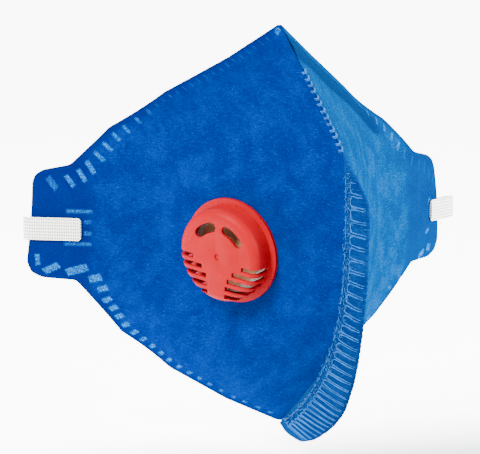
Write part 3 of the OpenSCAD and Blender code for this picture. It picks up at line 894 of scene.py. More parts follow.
@dataclass
class WeldPattern:
    """Where the webs are fused together along the rim, on the tab and at the nose channel."""

    shape: PanelShape
    side: Side
    soft: float = 0.0005
    tabs: tuple[tuple[Side, tuple[tuple[float, ...], ...]], ...] = (
        (Side.LEFT, (
            (109.0, 15.3, -0.74, -0.67, 5.0, 2.6, 0.2, 0.5), (102.8, 16.1, -0.57, -0.82, 4.6, 1.8, 0, 0.8),
            (98.6, 18.0, -0.50, -0.86, 4.8, 1.8, 0, 0.8), (95.4, 20.8, -0.50, -0.86, 4.8, 1.8, 0, 0.9),
            (100.2, 6.1, 1, 0, 9.4, 1.6, 0, 0.6), (97.2, 2.5, 1, 0, 2.8, 1.8, 0, 0.5),
            (97.2, -1.2, 1, 0, 2.8, 1.6, 0, 0.6), (100.7, -4.9, 1, 0, 9.8, 1.6, 0, 0.6),
            (114.4, -10.7, 0.15, 1, 4.2, 1.9, 0, 0.7), (109.5, -13.6, -0.72, 0.69, 5.6, 2.6, 0.3, 0.9),
            (100.6, -13.9, -0.88, 0.47, 7.4, 2.8, 0.2, 1), (94.1, -16.6, -0.91, 0.42, 4.4, 2.7, 0.2, 1),
            (91.2, -20.2, -0.88, 0.48, 3.5, 2.2, 0.2, 1), (2.6, 66.4, 0.8, -0.6, 3.0, 1.5, 0, 1),
        )),
        (Side.RIGHT, (
            (111.4, 3.2, 0.5, 1, 2.4, 2.4, 0, 0.9), (110.0, -7.3, 0.8, 0.6, 3.0, 1.4, 0, 0.8),
            (111.9, -13.4, 0.2, 1, 2.6, 2.6, 0, 0.9), (107.3, -15.5, 0.9, 0.4, 4.2, 2.3, 0.2, 1),
            (108.6, 15.6, -0.3, -0.95, 4.6, 1.4, 0, 0.35), (111.6, 13.4, -0.3, -0.95, 4.6, 1.4, 0, 0.35),
            (114.2, 11.0, -0.3, -0.95, 4.2, 1.2, 0, 0.35), (104.5, 16.6, -0.4, -0.9, 4.6, 1.4, 0, 0.35),
            (99.9, 18.4, -0.5, -0.86, 4.8, 1.4, 0, 0.4), (95.4, 21.4, -0.5, -0.86, 4.6, 1.4, 0, 0.4),
            (94.0, -22.4, -0.7, 0.7, 3.2, 1.6, 0.2, 0.5), (88.0, -25.6, -0.7, 0.7, 3.0, 1.6, 0.2, 0.6),
        )),
    )

    def marks(self) -> list[Mark]:
        """The bars of one half.

        Returns:
            Marks in metres.
        """
        found = [
            Mark(s * MM, q * MM, (along, up), long * MM, wide * MM, slant, weight)
            for s, q, along, up, long, wide, slant, weight in dict(self.tabs)[self.side]
        ]
        low = [100.7, 96.7, 92.8, 88.5, 83.3, 78.7, 73.8, 68.7, 63.8, 57.8, 52.1, 46.6, 40.9,
               34.3, 27.4, 21.4, 14.3, 7.8]
        for run in low if self.side is Side.LEFT else low[4:]:
            inset = np.interp(run, [40, 78, 100], [1.5, 1.8, 3.2])
            long = np.interp(run, [20, 40, 78, 100], [0.8, 1.0, 2.0, 3.0])
            wide = np.interp(run, [20, 78, 100], [2.6, 2.0, 2.2])
            found.append(self.rim_mark(run, inset, long, wide, 0.35, np.interp(run, [10, 60], [0.8, 1])))
        for run in (186.0, 190.6, 195.8, 201.2, 207.0, 212.9):
            inset = np.interp(run, [186, 213], [4.2, 2.0])
            found.append(self.rim_mark(run, inset, np.interp(run, [186, 213], [4.2, 2.2]), 1.6, -0.15,
                                       np.interp(run, [186, 213], [0.85, 0.5])))
        for run in np.arange(217.5, 282, 3.9):
            found.append(self.rim_mark(run, 1.7, 1.9, 1.0, -0.5, 0.4))
        for run in np.arange(206, 284, 4.4):
            found.append(self.rim_mark(run, 10.0, 1.4, 0.7, -0.7, 0.22))
        return found

    def rim_mark(self, run: float, inset: float, long: float, wide: float, slant: float,
                 weight: float) -> Mark:
        """A bar square to the outline.

        Args:
            run: Distance along the outline from the chin, in millimetres.
            inset: Distance of its middle from the outline.
            long: Length square to the outline.
            wide: Width along the outline.
            slant: Lean of the bar.
            weight: How well it is fused.

        Returns:
            The mark.
        """
        p, n = self.shape.at_run(np.array(run * MM))
        s, q = p + n * inset * MM
        return Mark(float(s), float(q), (float(n[0]), float(n[1])), long * MM, wide * MM, slant, weight)

    def fused(self, s: np.ndarray, q: np.ndarray) -> np.ndarray:
        """How far the webs are fused at points, from 0 to 1."""
        best = np.zeros(len(s))
        for m in self.marks():
            reach = (m.long + m.wide) / 2 + MM
            close_by = np.flatnonzero((np.abs(s - m.s) < reach) & (np.abs(q - m.q) < reach))
            d = m.distance(s[close_by], q[close_by])
            best[close_by] = np.maximum(best[close_by], ease((d + self.soft / 2) / self.soft) * m.weight)
        return best


@dataclass
class HalfPanel:
    """One half of the mask: four webs, welded along the rim."""

    shape: PanelShape
    side: Side
    palette: Palette
    webs: tuple[Web, ...] = (
        Web("cover", 0.0, 0.0007, 0.00015, 0.0005, "cover", "outer_web", 0.00055),
        Web("support", 0.0014, 0.0003, 0.00068, 0.00016, "support", "inner_web", 0.0016),
        Web("filter", 0.0018, 0.0004, 0.00087, 0.00018, "media", "inner_web", 0.0016),
        Web("lining", 0.0023, 0.0003, 0.00108, 0.00016, "lining", "lining_web", 0.0011),
    )
    rim: float = 0.0036
    hole_r: float = 0.0142
    trim: float = 0.00025
    puff: float = 0.0008
    tab_from: float = 0.0935
    crown_to: float = 0.08
    channel_inset: float = 0.007
    channel_half: float = 0.0034
    channel_lift: float = 0.0004
    cut_flat: tuple[float, float] = (0.118, 0.134)
    cut_area: float = 0.0098
    overshoot: float = 1.02

    def suffix(self) -> str:
        """The half's word in its node names."""
        return self.side.name.lower()

    def spread(self, grid: np.ndarray) -> tuple[np.ndarray, np.ndarray]:
        """Distances and heights of points on a grid one unit wide, laid over the panel."""
        s = (grid[:, 0] + 0.5) * self.shape.length * self.overshoot
        return s, -self.shape.chin + (grid[:, 1] + 0.5) * (self.shape.nose + self.shape.chin)

    def build(self) -> list[bpy.types.Object]:
        """Builds and dresses the four webs.

        Returns:
            The pieces, outermost first.
        """
        made = []
        for web in self.webs:
            piece = self.web(web)
            node = f"{web.node}_{self.suffix()}"
            # The right half's cover takes the lighter copy of the felt, which is painted light.
            finish = "cover_right" if web.node == "cover" and self.side is Side.RIGHT else web.finish
            self.palette.dress(piece, finish, web.slot)
            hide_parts(node)
            if self.side is Side.LEFT:
                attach(piece, Body.LEFT.value)
            else:
                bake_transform(piece)
            log.info("%s: %d faces", piece.name, len(piece.data.polygons))
            made.append(piece)
        return made

    def web(self, web: Web) -> bpy.types.Object:
        """One web as a closed sheet.

        Args:
            web: Its place in the laminate.

        Returns:
            The piece.
        """
        shape = self.shape
        columns = int(round(shape.length * self.overshoot / web.cell))
        rows = int(round((shape.nose + shape.chin) / web.cell))
        bm = bmesh.new()
        bmesh.ops.create_grid(bm, x_segments=columns, y_segments=rows, size=0.5)
        trim = self.trim + 0.5 * (web.depth + web.thick)
        low, high = -shape.chin + trim, shape.nose - trim
        faces = list(bm.faces)
        ms, mq = self.spread(np.array([f.calc_center_median() for f in faces]))
        keep = shape.inside(ms, mq) & (mq > low) & (mq < high)
        if self.side is Side.LEFT:
            keep &= self.from_valve(ms, mq) > self.hole_r
        bmesh.ops.delete(bm, geom=[f for f, k in zip(faces, keep) if not k], context="FACES")
        s_layer, q_layer = bm.verts.layers.float.new("s"), bm.verts.layers.float.new("q")
        bm.verts.ensure_lookup_table()
        s, q = self.spread(np.array([v.co for v in bm.verts]))
        on_rim = np.array([v.is_boundary for v in bm.verts]) & (s > 1e-6)
        edge = np.flatnonzero(on_rim & ~self.near_ring(s, q, 4 * web.cell))
        _, where = shape.nearest(s[edge], q[edge])
        snapped = shape.on_outline(where)
        s[edge], q[edge] = snapped[:, 0], np.clip(snapped[:, 1], low, high)
        for v, a, b in zip(bm.verts, s, q):
            v[s_layer], v[q_layer] = a, b
        doubled = bmesh.ops.extrude_face_region(bm, geom=bm.faces[:], use_keep_orig=True)
        inner = {v for v in doubled["geom"] if isinstance(v, bmesh.types.BMVert)}
        bm.verts.ensure_lookup_table()
        s = np.array([v[s_layer] for v in bm.verts])
        q = np.array([v[q_layer] for v in bm.verts])
        back = np.array([v in inner for v in bm.verts])
        co, weld, rim = self.positions(web, s, q, back)
        if self.side is Side.LEFT:
            co = self.round_ring(co, self.near_ring(s, q, 0.6 * web.cell))
        for v, p in zip(bm.verts, co):
            v.co = p
        bmesh.ops.recalc_face_normals(bm, faces=bm.faces)
        piece = finish_mesh(f"{web.node}_web_{self.suffix()}", bm, 60)
        strip_uv(piece, {k: (a, b) for k, (a, b) in enumerate(zip(s, q))})
        point_values(piece, "weld", weld)
        # The rim values carry the pressed rim and tab and, on the covers, painted shade beside the top edge.
        point_values(piece, "rim", rim)
        return piece

    def from_valve(self, s: np.ndarray, q: np.ndarray) -> np.ndarray:
        """Distances from the valve's axis."""
        d = self.shape.face(s, q) - self.shape.valve_at
        n = self.shape.valve_normal
        return np.linalg.norm(d - (d @ n)[:, None] * n, axis=1)

    def near_ring(self, s: np.ndarray, q: np.ndarray, reach: float) -> np.ndarray:
        """Which points lie within a reach of the valve's hole."""
        if self.side is Side.RIGHT:
            return np.zeros(len(s), bool)
        return self.from_valve(s, q) < self.hole_r + reach

    def round_ring(self, co: np.ndarray, ring: np.ndarray) -> np.ndarray:
        """Pulls the vertices round the hole on to its circle."""
        at, axes = self.shape.valve_frame()
        local = (co[ring] - at) @ axes
        away = np.linalg.norm(local[:, :2], axis=1, keepdims=True)
        local[:, :2] *= self.hole_r / away
        co[ring] = at + local @ axes.T
        return co

    def positions(self, web: Web, s: np.ndarray, q: np.ndarray, back: np.ndarray
                  ) -> tuple[np.ndarray, np.ndarray, np.ndarray]:
        """Where the web's vertices go.

        Args:
            web: The web.
            s: Distances from the seam.
            q: Heights.
            back: True on the web's inner face.

        Returns:
            Points, how far they are fused, and how far they are pressed at the rim and tab, with painted
            shade beside the top edge.
        """
        shape = self.shape
        from_edge, where = shape.nearest(s, q)
        open_ = ease(from_edge / self.rim)
        full = web.depth + np.where(back, web.thick, 0.0)
        pressed = web.rim_depth + np.where(back, web.rim_thick, 0.0)
        depth = full * open_ + pressed * (1 - open_)
        b = np.maximum(shape.edge(q), 1e-4)
        a = np.minimum(shape.start(q, full), 0.9 * b)
        moved = a + np.clip(s, 0, None) * (b - a) / b
        moved = np.where(s > b, s, moved)
        weld = WeldPattern(shape, self.side).fused(s, q)
        lift = self.relief(s, q, from_edge, where)
        # Pressed rim and tab; the tab's darker tone on the left half is partly painted shade.
        pressed_and_painted_shade = np.maximum(1 - open_, ease((s - self.tab_from) / 0.005))
        if web.node == "cover":
            lift = lift - weld * 0.0003
            # Painted shade beside the top edge is added to the covers' rim values.
            pressed_and_painted_shade = np.maximum(pressed_and_painted_shade, self.top_edge_painted_shade(from_edge, where))
        calm = 1 - shape.flatness(shape.face(s, q)) if self.side is Side.LEFT else np.ones(len(s))
        co = shape.point(moved, q, depth - lift * calm, self.side)
        return co, weld if web.node == "cover" else weld * 0.3, pressed_and_painted_shade

    def along_top(self, where: np.ndarray, start: float, over: float = 0.006) -> np.ndarray:
        """How far points lie along the outline's top run, from 0 to 1 past a start."""
        run = np.interp(where, np.arange(len(self.shape.outline)), self.shape.outline_run)
        return ease((run - start) / over)

    def top_edge_painted_shade(self, from_edge: np.ndarray, where: np.ndarray) -> np.ndarray:
        """Painted shade in a band beside the top edge, strong and wide on the right half and faint on the
        left.
        """
        wide, most, start = (0.0115, 1.8, 0.188) if self.side is Side.RIGHT else (0.0095, 0.35, 0.205)
        fade = self.along_top(where, start, 0.022)
        inner = ease((wide * (0.4 + 0.6 * fade) - from_edge) / 0.002) * ease((from_edge - 0.0022) / 0.001)
        return fade * inner * most

    def relief(self, s: np.ndarray, q: np.ndarray, from_edge: np.ndarray, where: np.ndarray) -> np.ndarray:
        """Outward lift of the laminate: soft waves, crown and the nose channel.

        Args:
            s: Distances from the seam.
            q: Heights.
            from_edge: Distances to the outline.
            where: Places along the outline.

        Returns:
            Lift in metres.
        """
        inner = ease(from_edge / 0.012) * ease(s / 0.012)
        inner = inner * (1 - ease((s - self.crown_to) / (self.tab_from - self.crown_to)))
        seed = 3 if self.side is Side.LEFT else 8
        soft = 0.35 * MM * waves(s, q, 0.024, seed) + 0.16 * MM * waves(s, q, 0.009, seed + 1)
        ridge = ease(1 - np.abs(from_edge - self.channel_inset) / self.channel_half)
        line = ease(1 - np.abs(from_edge - 0.0036) / 0.0008)
        channel = self.along_top(where, 0.205) * (self.channel_lift * ridge + 0.00018 * line)
        return inner * (soft + self.puff) + channel


# ---------------------------------------------------------------- sewn edges


@dataclass
class FrontSeam:
    """Sewn edge down the front: pressed plies, needle stitches and looper threads."""

    shape: PanelShape
    palette: Palette
    widths: tuple[tuple[float, float], ...] = (
        (31.0, 0.4), (28.6, 0.9), (25.1, 2.6), (21.9, 4.7), (17.1, 8.1), (13.8, 9.3), (9.0, 9.8),
        (2.5, 9.7), (-7.2, 9.9), (-18.6, 10.3), (-26.7, 11.2), (-33.1, 12.2), (-42.8, 13.9),
        (-47.7, 14.3), (-54.2, 13.2), (-59.0, 11.9), (-62.3, 9.8), (-63.9, 7.0), (-65.0, 3.0),
    )
    thick: float = 0.002
    lean: float = 24.0
    pitch: float = 0.0044
    tighten: float = 0.77
    thread_r: float = 0.00018
    root: float = 0.00025
    band: float = 0.0034
    slants: tuple[tuple[float, float], ...] = (
        (20, 0.5), (-20, 0), (-40, -2.3), (-57, -3.8), (-60, -3.0), (-64, -1.2),
    )

    def __post_init__(self) -> None:
        """Places the stitches, closer together towards the chin."""
        self.top = self.shape.belly + MM
        self.bottom = -self.shape.chin + 0.5 * MM
        first, last = self.top - 6 * MM, self.bottom + 1.8 * MM
        half = 1 - self.tighten / 2
        count = round((first - last) / (self.pitch * half))
        t = np.arange(count + 1) / count
        self.stitches = first + (last - first) * t * (1 - self.tighten * t / 2) / half
        self.profile = smooth_path(np.array(self.widths) * MM, MM)

    def out(self, q: np.ndarray) -> np.ndarray:
        """Direction out across the sewn edge."""
        a = math.radians(self.lean)
        return self.shape.keel_out(q) * math.cos(a) + np.array([math.sin(a), 0, 0])

    def side(self, q: np.ndarray) -> np.ndarray:
        """Direction square to the sewn edge's faces, to the right."""
        return unit(np.cross(self.out(q), self.shape.keel_along(q)))

    def reach(self, q: np.ndarray) -> np.ndarray:
        """Width of the sewn edge at a height."""
        return np.interp(-q, -self.profile[:, 0], self.profile[:, 1])

    def place(self, q: np.ndarray, across: np.ndarray, side: np.ndarray) -> np.ndarray:
        """Points on the sewn edge, across from the front edge and to the right of its middle."""
        return (self.shape.keel_point(q) + self.out(q) * np.asarray(across)[:, None]
                + self.side(q) * np.asarray(side)[:, None])

    def build(self) -> list[bpy.types.Object]:
        """Builds the plies and the three threads.

        Returns:
            The pieces.
        """
        made = [
            (self.plies(), "hem", "seam_edge", "front_seam"),
            (self.needle(), "needle", "thread", "needle_thread"),
            (self.looper(-1.0, 0.0, "upper_looper"), "looper", "thread", "upper_looper_thread"),
            (self.looper(1.0, 0.5, "lower_looper"), "looper", "thread", "lower_looper_thread"),
        ]
        for piece, finish, slot, node in made:
            self.palette.dress(piece, finish, slot)
            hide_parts(node)
            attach(piece, Body.LEFT.value)
            log.info("%s: %d faces", piece.name, len(piece.data.polygons))
        return [m[0] for m in made]

    def half_thick(self, q: np.ndarray, share: np.ndarray) -> np.ndarray:
        """Half the edge's thickness at a share of its width."""
        grow = 0.55 + 0.45 * ease((self.top - q) / 0.01)
        return self.thick / 2 * grow * np.sqrt(np.clip(1 - np.clip(share, 0, 1) ** 7, 0, 1))

    def plies(self) -> bpy.types.Object:
        """The trimmed plies, drawn in a little at each looper strand.

        Returns:
            The piece.
        """
        q = np.linspace(self.top, self.bottom, 420)
        phase = np.interp(-q, -self.stitches, np.arange(len(self.stitches)))
        grow = ease((self.top - q) / 0.012)
        notch = np.cos(2 * math.pi * phase) ** 6 * 0.22 * MM * grow
        fray = waves(q, q * 0, 0.0012, 5) * 0.1 * MM
        wide = np.maximum(self.reach(q) - notch + fray, self.root + 0.1 * MM) - self.root
        shares = np.array([0, 0.12, 0.25, 0.38, 0.5, 0.62, 0.74, 0.84, 0.91, 0.96, 0.99, 1.0])
        rows = []
        for face in (1, -1):
            for share in shares if face > 0 else shares[-2::-1]:
                pillow = 1 + 0.1 * math.sin(math.pi * share) * np.cos(2 * math.pi * phase + math.pi)
                bumpy = 0.05 * MM * waves(q, np.full_like(q, share * 0.01), 0.0014, 9 + face)
                side = (self.half_thick(q, share) * pillow + bumpy * (1 - share**7)) * -face
                rows.append(self.place(q, self.root + wide * share, side))
        bm = bmesh.new()
        layout(bm, np.stack(rows, 1))
        close(bm, 2e-6)
        piece = finish_mesh("sewn_edge", bm, 70)
        co = np.array([v.co for v in piece.data.vertices])
        strip_uv(piece, {k: (p[0] * 0.6 + p[1], p[2]) for k, p in enumerate(co)})
        for name in ("weld", "rim"):
            point_values(piece, name, np.zeros(len(co)))
        return piece

    def strand(self, bm: bmesh.types.BMesh, q: np.ndarray, across: np.ndarray, face: float,
               radius: float, proud: float = 0.0) -> None:
        """Adds one strand lying on a face of the edge.

        Args:
            bm: The mesh being built.
            q: Heights along it.
            across: Distances out from the front edge.
            face: -1 for the left face, 1 for the right.
            radius: The strand's radius.
            proud: How far it stands off the plies.
        """
        q = np.clip(q, self.bottom + 0.2 * MM, self.top)
        share = (across - self.root) / (self.reach(q) - self.root)
        lift = self.half_thick(q, share) + radius * 0.8 + proud
        tube(bm, self.place(q, across, face * lift), radius, 5, 0.6)

    def needle(self) -> bpy.types.Object:
        """Needle stitches beside the panels, in the band of fluff they raise.

        Returns:
            The piece.
        """
        bm = bmesh.new()
        rng = np.random.default_rng(4)
        n = np.linspace(0, 1, 5)
        for face in (-1.0, 1.0):
            for a, b in zip(self.stitches[:-1], self.stitches[1:]):
                run = np.linspace(0.1, 0.85, 5)
                self.strand(bm, a + (b - a) * run, 0.8 * MM + 0.1 * MM * np.sin(run * 4), face, self.thread_r)
                for _ in range(int(8 + 60 * (a - b) / self.pitch) // (1 if face < 0 else 4)):
                    lean = rng.normal(0.9, 0.7)
                    long = rng.uniform(0.5, 1.5) * MM
                    start = rng.uniform(b, a)
                    across = rng.uniform(-0.1, self.band / MM) * MM + long * math.cos(lean) * n
                    across = across + rng.uniform(-0.15, 0.15) * MM * np.sin(n * 3)
                    q = start - long * math.sin(lean) * n
                    across = np.clip(across, -0.25 * MM, self.reach(q) * 0.85)
                    thick, lift = rng.uniform(0.07, 0.14) * MM, rng.uniform(-0.03, 0.2) * MM
                    self.strand(bm, q, across, face, thick, lift)
        for q0 in np.arange(self.top - 6 * MM, self.bottom, -0.75 * MM):
            q = q0 + rng.uniform(-0.1, 0.1) * MM - 0.1 * MM * n
            self.strand(bm, q, (-0.35 + 0.5 * n) * MM, -1.0, 0.13 * MM, 0.02 * MM)
        close(bm)
        return finish_mesh("needle_stitches", bm, 60)

    def looper(self, face: float, shift: float, name: str) -> bpy.types.Object:
        """Looper strands: out and back across one face, turning beside the needle band.

        Args:
            face: -1 for the left face, 1 for the right.
            shift: Offset along the stitches.
            name: The piece's name.

        Returns:
            The piece.
        """
        bm = bmesh.new()
        rng = np.random.default_rng(11 + int(face))
        at = np.arange(len(self.stitches), dtype=float)
        lean = np.array(self.slants) * MM
        corners = np.array([(1, 0.1), (0.6, 0.12), (0.14, 0.13), (0, 0.3), (0, 0.7), (0.14, 0.87),
                            (0.6, 0.9), (1, 0.93)])
        for i in range(len(self.stitches) - 1):
            for copy in range(3):
                jitter = rng.uniform(-1, 1, corners.shape) * np.array([0.045, 0.05 + 0.025 * copy])
                bent = smooth_path(corners + jitter * (1 if copy else 0.6), 0.1)
                if copy == 2:
                    first = rng.integers(0, len(bent) // 2)
                    bent = bent[first : first + 10]
                share, lane = np.clip(bent[:, 0], 0, 1.0), bent[:, 1]
                q = np.interp(i + shift + lane, at, self.stitches)
                q = q - np.interp(-q, -lean[:, 0], lean[:, 1]) * share
                wide = np.maximum(self.reach(q) - 0.05 * MM - self.band, 0.6 * MM)
                across = np.minimum(self.band * 0.8 + wide * share, self.reach(q) - 0.05 * MM)
                self.strand(bm, q, across, face, self.thread_r * rng.uniform(0.5, 0.8))
        close(bm)
        return finish_mesh(name, bm, 60)


@dataclass
class RidgeSeam:
    """Seam over the nose ridge: small stitches outside, the turned allowance inside."""

    shape: PanelShape
    palette: Palette
    count: int = 13
    first: float = 0.0307
    last: float = 0.0534
    allowance: float = 0.006
    panel: float = 0.0026
    thread_r: float = 0.0003

    def build(self) -> list[bpy.types.Object]:
        """Builds the stitches and the allowance.

        Returns:
            The pieces.
        """
        made = [
            (self.stitches(), "ridge", "thread", "ridge_thread"),
            (self.inside(), "hem", "seam_edge", "ridge_seam"),
        ]
        for piece, finish, slot, node in made:
            self.palette.dress(piece, finish, slot)
            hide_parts(node)
            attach(piece, Body.LEFT.value)
            log.info("%s: %d faces", piece.name, len(piece.data.polygons))
        return [m[0] for m in made]

    def stitches(self) -> bpy.types.Object:
        """Loops that lie over the ridge.

        Returns:
            The piece.
        """
        bm = bmesh.new()
        rng = np.random.default_rng(6)
        for q0 in np.linspace(self.first, self.last, self.count):
            n = np.linspace(-1, 1, 11)
            x = 0.85 * MM * n
            q = q0 + (0.55 * n + 0.5 * n * n + rng.uniform(-0.15, 0.15)) * MM
            drop = np.abs(x) * math.tan(math.radians(self.shape.front_angle))
            proud = self.shape.keel_out(q) * (0.2 * MM + 0.3 * MM * np.cos(n * 1.4))[:, None]
            path = self.shape.keel_point(q) + np.stack([x, drop * 0.9, np.zeros_like(x)], 1) + proud
            tube(bm, path, self.thread_r * rng.uniform(0.85, 1.15), 8, 0.55)
            tube(bm, path + [0.1 * MM, 0, -0.45 * MM], self.thread_r * 0.6, 6, 0.5)
        close(bm)
        return finish_mesh("ridge_stitches", bm, 60)

    def inside(self) -> bpy.types.Object:
        """Plies turned inside the ridge, as a rounded wedge.

        Returns:
            The piece.
        """
        low = self.shape.belly + 3 * MM
        high = self.shape.nose - self.panel / 2 - 4.5 * MM
        q = np.linspace(low, high, 90)
        start = self.panel / math.cos(math.radians(self.shape.front_angle)) + 0.3 * MM
        rows = []
        for w in np.linspace(0, 2 * math.pi, 21):
            along = 0.5 - 0.5 * math.cos(w)
            half = 0.62 * MM * math.sin(w) * min(1.0, 0.3 + along)
            wave = 0.12 * MM * np.sin(q / (1.3 * MM)) * along
            back = start + (self.allowance + 0.6 * MM) * along
            rows.append(self.shape.keel_point(q) - self.shape.keel_out(q) * back
                        + np.stack([half + wave, 0 * q, 0 * q], 1))
        bm = bmesh.new()
        layout(bm, np.stack(rows, 1))
        close(bm, 2e-6)
        piece = finish_mesh("ridge_allowance", bm, 70)
        strip_uv(piece, {k: (v.co.y, v.co.z) for k, v in enumerate(piece.data.vertices)})
        for name in ("weld", "rim"):
            point_values(piece, name, np.zeros(len(piece.data.vertices)))
        return piece


@dataclass
class NoseClip:
    """Soft metal strip under the cover, across the nose."""

    shape: PanelShape
    palette: Palette
    length: float = 0.088
    width: float = 0.005
    thick: float = 0.00045
    inset: float = 0.007
    depth: float = 0.00083

    def build(self) -> bpy.types.Object:
        """Builds the strip, bent across the front edge.

        Returns:
            The piece.
        """
        shape = self.shape
        corners = shape.rows[::-1][:6]
        slope = math.hypot(1.0, (shape.nose - shape.tab_top) / (corners[5, 1] * shape.length))
        t = np.linspace(-1, 1, 61)
        s = np.abs(t) * self.length / 2
        top = np.interp(s, corners[:, 1] * shape.length, corners[:, 0])
        ends = np.sqrt(np.clip(1 - np.clip((np.abs(t) - 0.95) / 0.05, 0, 1) ** 2, 0.02, 1))
        rows = []
        for w in np.linspace(0, 2 * math.pi, 17):
            side = np.clip(1.35 * math.cos(w), -1, 1) * ends
            deep = self.depth + self.thick * (0.5 + 0.5 * np.clip(1.6 * math.sin(w), -1, 1))
            q = top - (self.inset + side * self.width / 2) * slope
            lean = shape.normal(np.full_like(q, shape.step), q)[:, 0]
            at = np.maximum(s, lean * deep / math.cos(math.radians(shape.front_angle)))
            p = shape.point(at, q, np.full_like(q, deep), Side.RIGHT)
            p[:, 0] *= np.sign(t)
            rows.append(p)
        bm = bmesh.new()
        layout(bm, np.stack(rows, 1))
        close(bm, 2e-6)
        piece = self.palette.dress(finish_mesh("nose_strip", bm, 40), "metal", "clip_metal")
        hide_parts("nose_clip")
        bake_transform(piece)
        log.info("%s: %d faces", piece.name, len(piece.data.polygons))
        return piece


# ------------------------------------------------------------------ the valve


@dataclass
class ExhalationValve:
    """Slotted cover, seat, flap and its retainer."""

    palette: Palette
    edge: float = 0.0004

    def build(self) -> list[bpy.types.Object]:
        """Softens the moulded edges and dresses the parts.

        Returns:
            The pieces.
        """
        made = []
        for node, finish, slot, body, edge in (
            ("valve_cover", "coral", "valve_plastic", Body.LEFT, self.edge),
            ("valve_seat", "seat", "seat_plastic", Body.LEFT, 0.00018),
            ("flap_retainer", "seat", "seat_plastic", Body.LEFT, 0.00012),
            ("valve_flap", "rubber", "flap_rubber", Body.FLAP, 0.0001),
        ):
            piece = self.softened(node, edge)
            self.palette.dress(piece, finish, slot)
            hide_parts(node)
            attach(piece, body.value)
            log.info("%s: %d faces", piece.name, len(piece.data.polygons))
            made.append(piece)
        return made

    def softened(self, node: str, edge: float) -> bpy.types.Object:
        """A merged copy of a moulded part with rounded edges.

        Args:
            node: Its node in the frame.
            edge: Radius of its edges.

        Returns:
            The piece.
        """
        bm = bmesh.new()
        bm.from_mesh(frame["nodes"][node].data)
        bmesh.ops.remove_doubles(bm, verts=bm.verts, dist=2e-6)
        bmesh.ops.dissolve_limit(bm, angle_limit=math.radians(1.0), verts=bm.verts, edges=bm.edges)
        sharp = [e for e in bm.edges if e.is_manifold and e.calc_face_angle(0.0) > math.radians(32)]
        bmesh.ops.bevel(bm, geom=sharp, offset=edge, offset_type="OFFSET", affect="EDGES",
                        segments=3, profile=0.5, material=-1, clamp_overlap=True)
        return finish_mesh(f"{node}_moulding", bm, 38)


# --------------------------------------------------------------- the headband


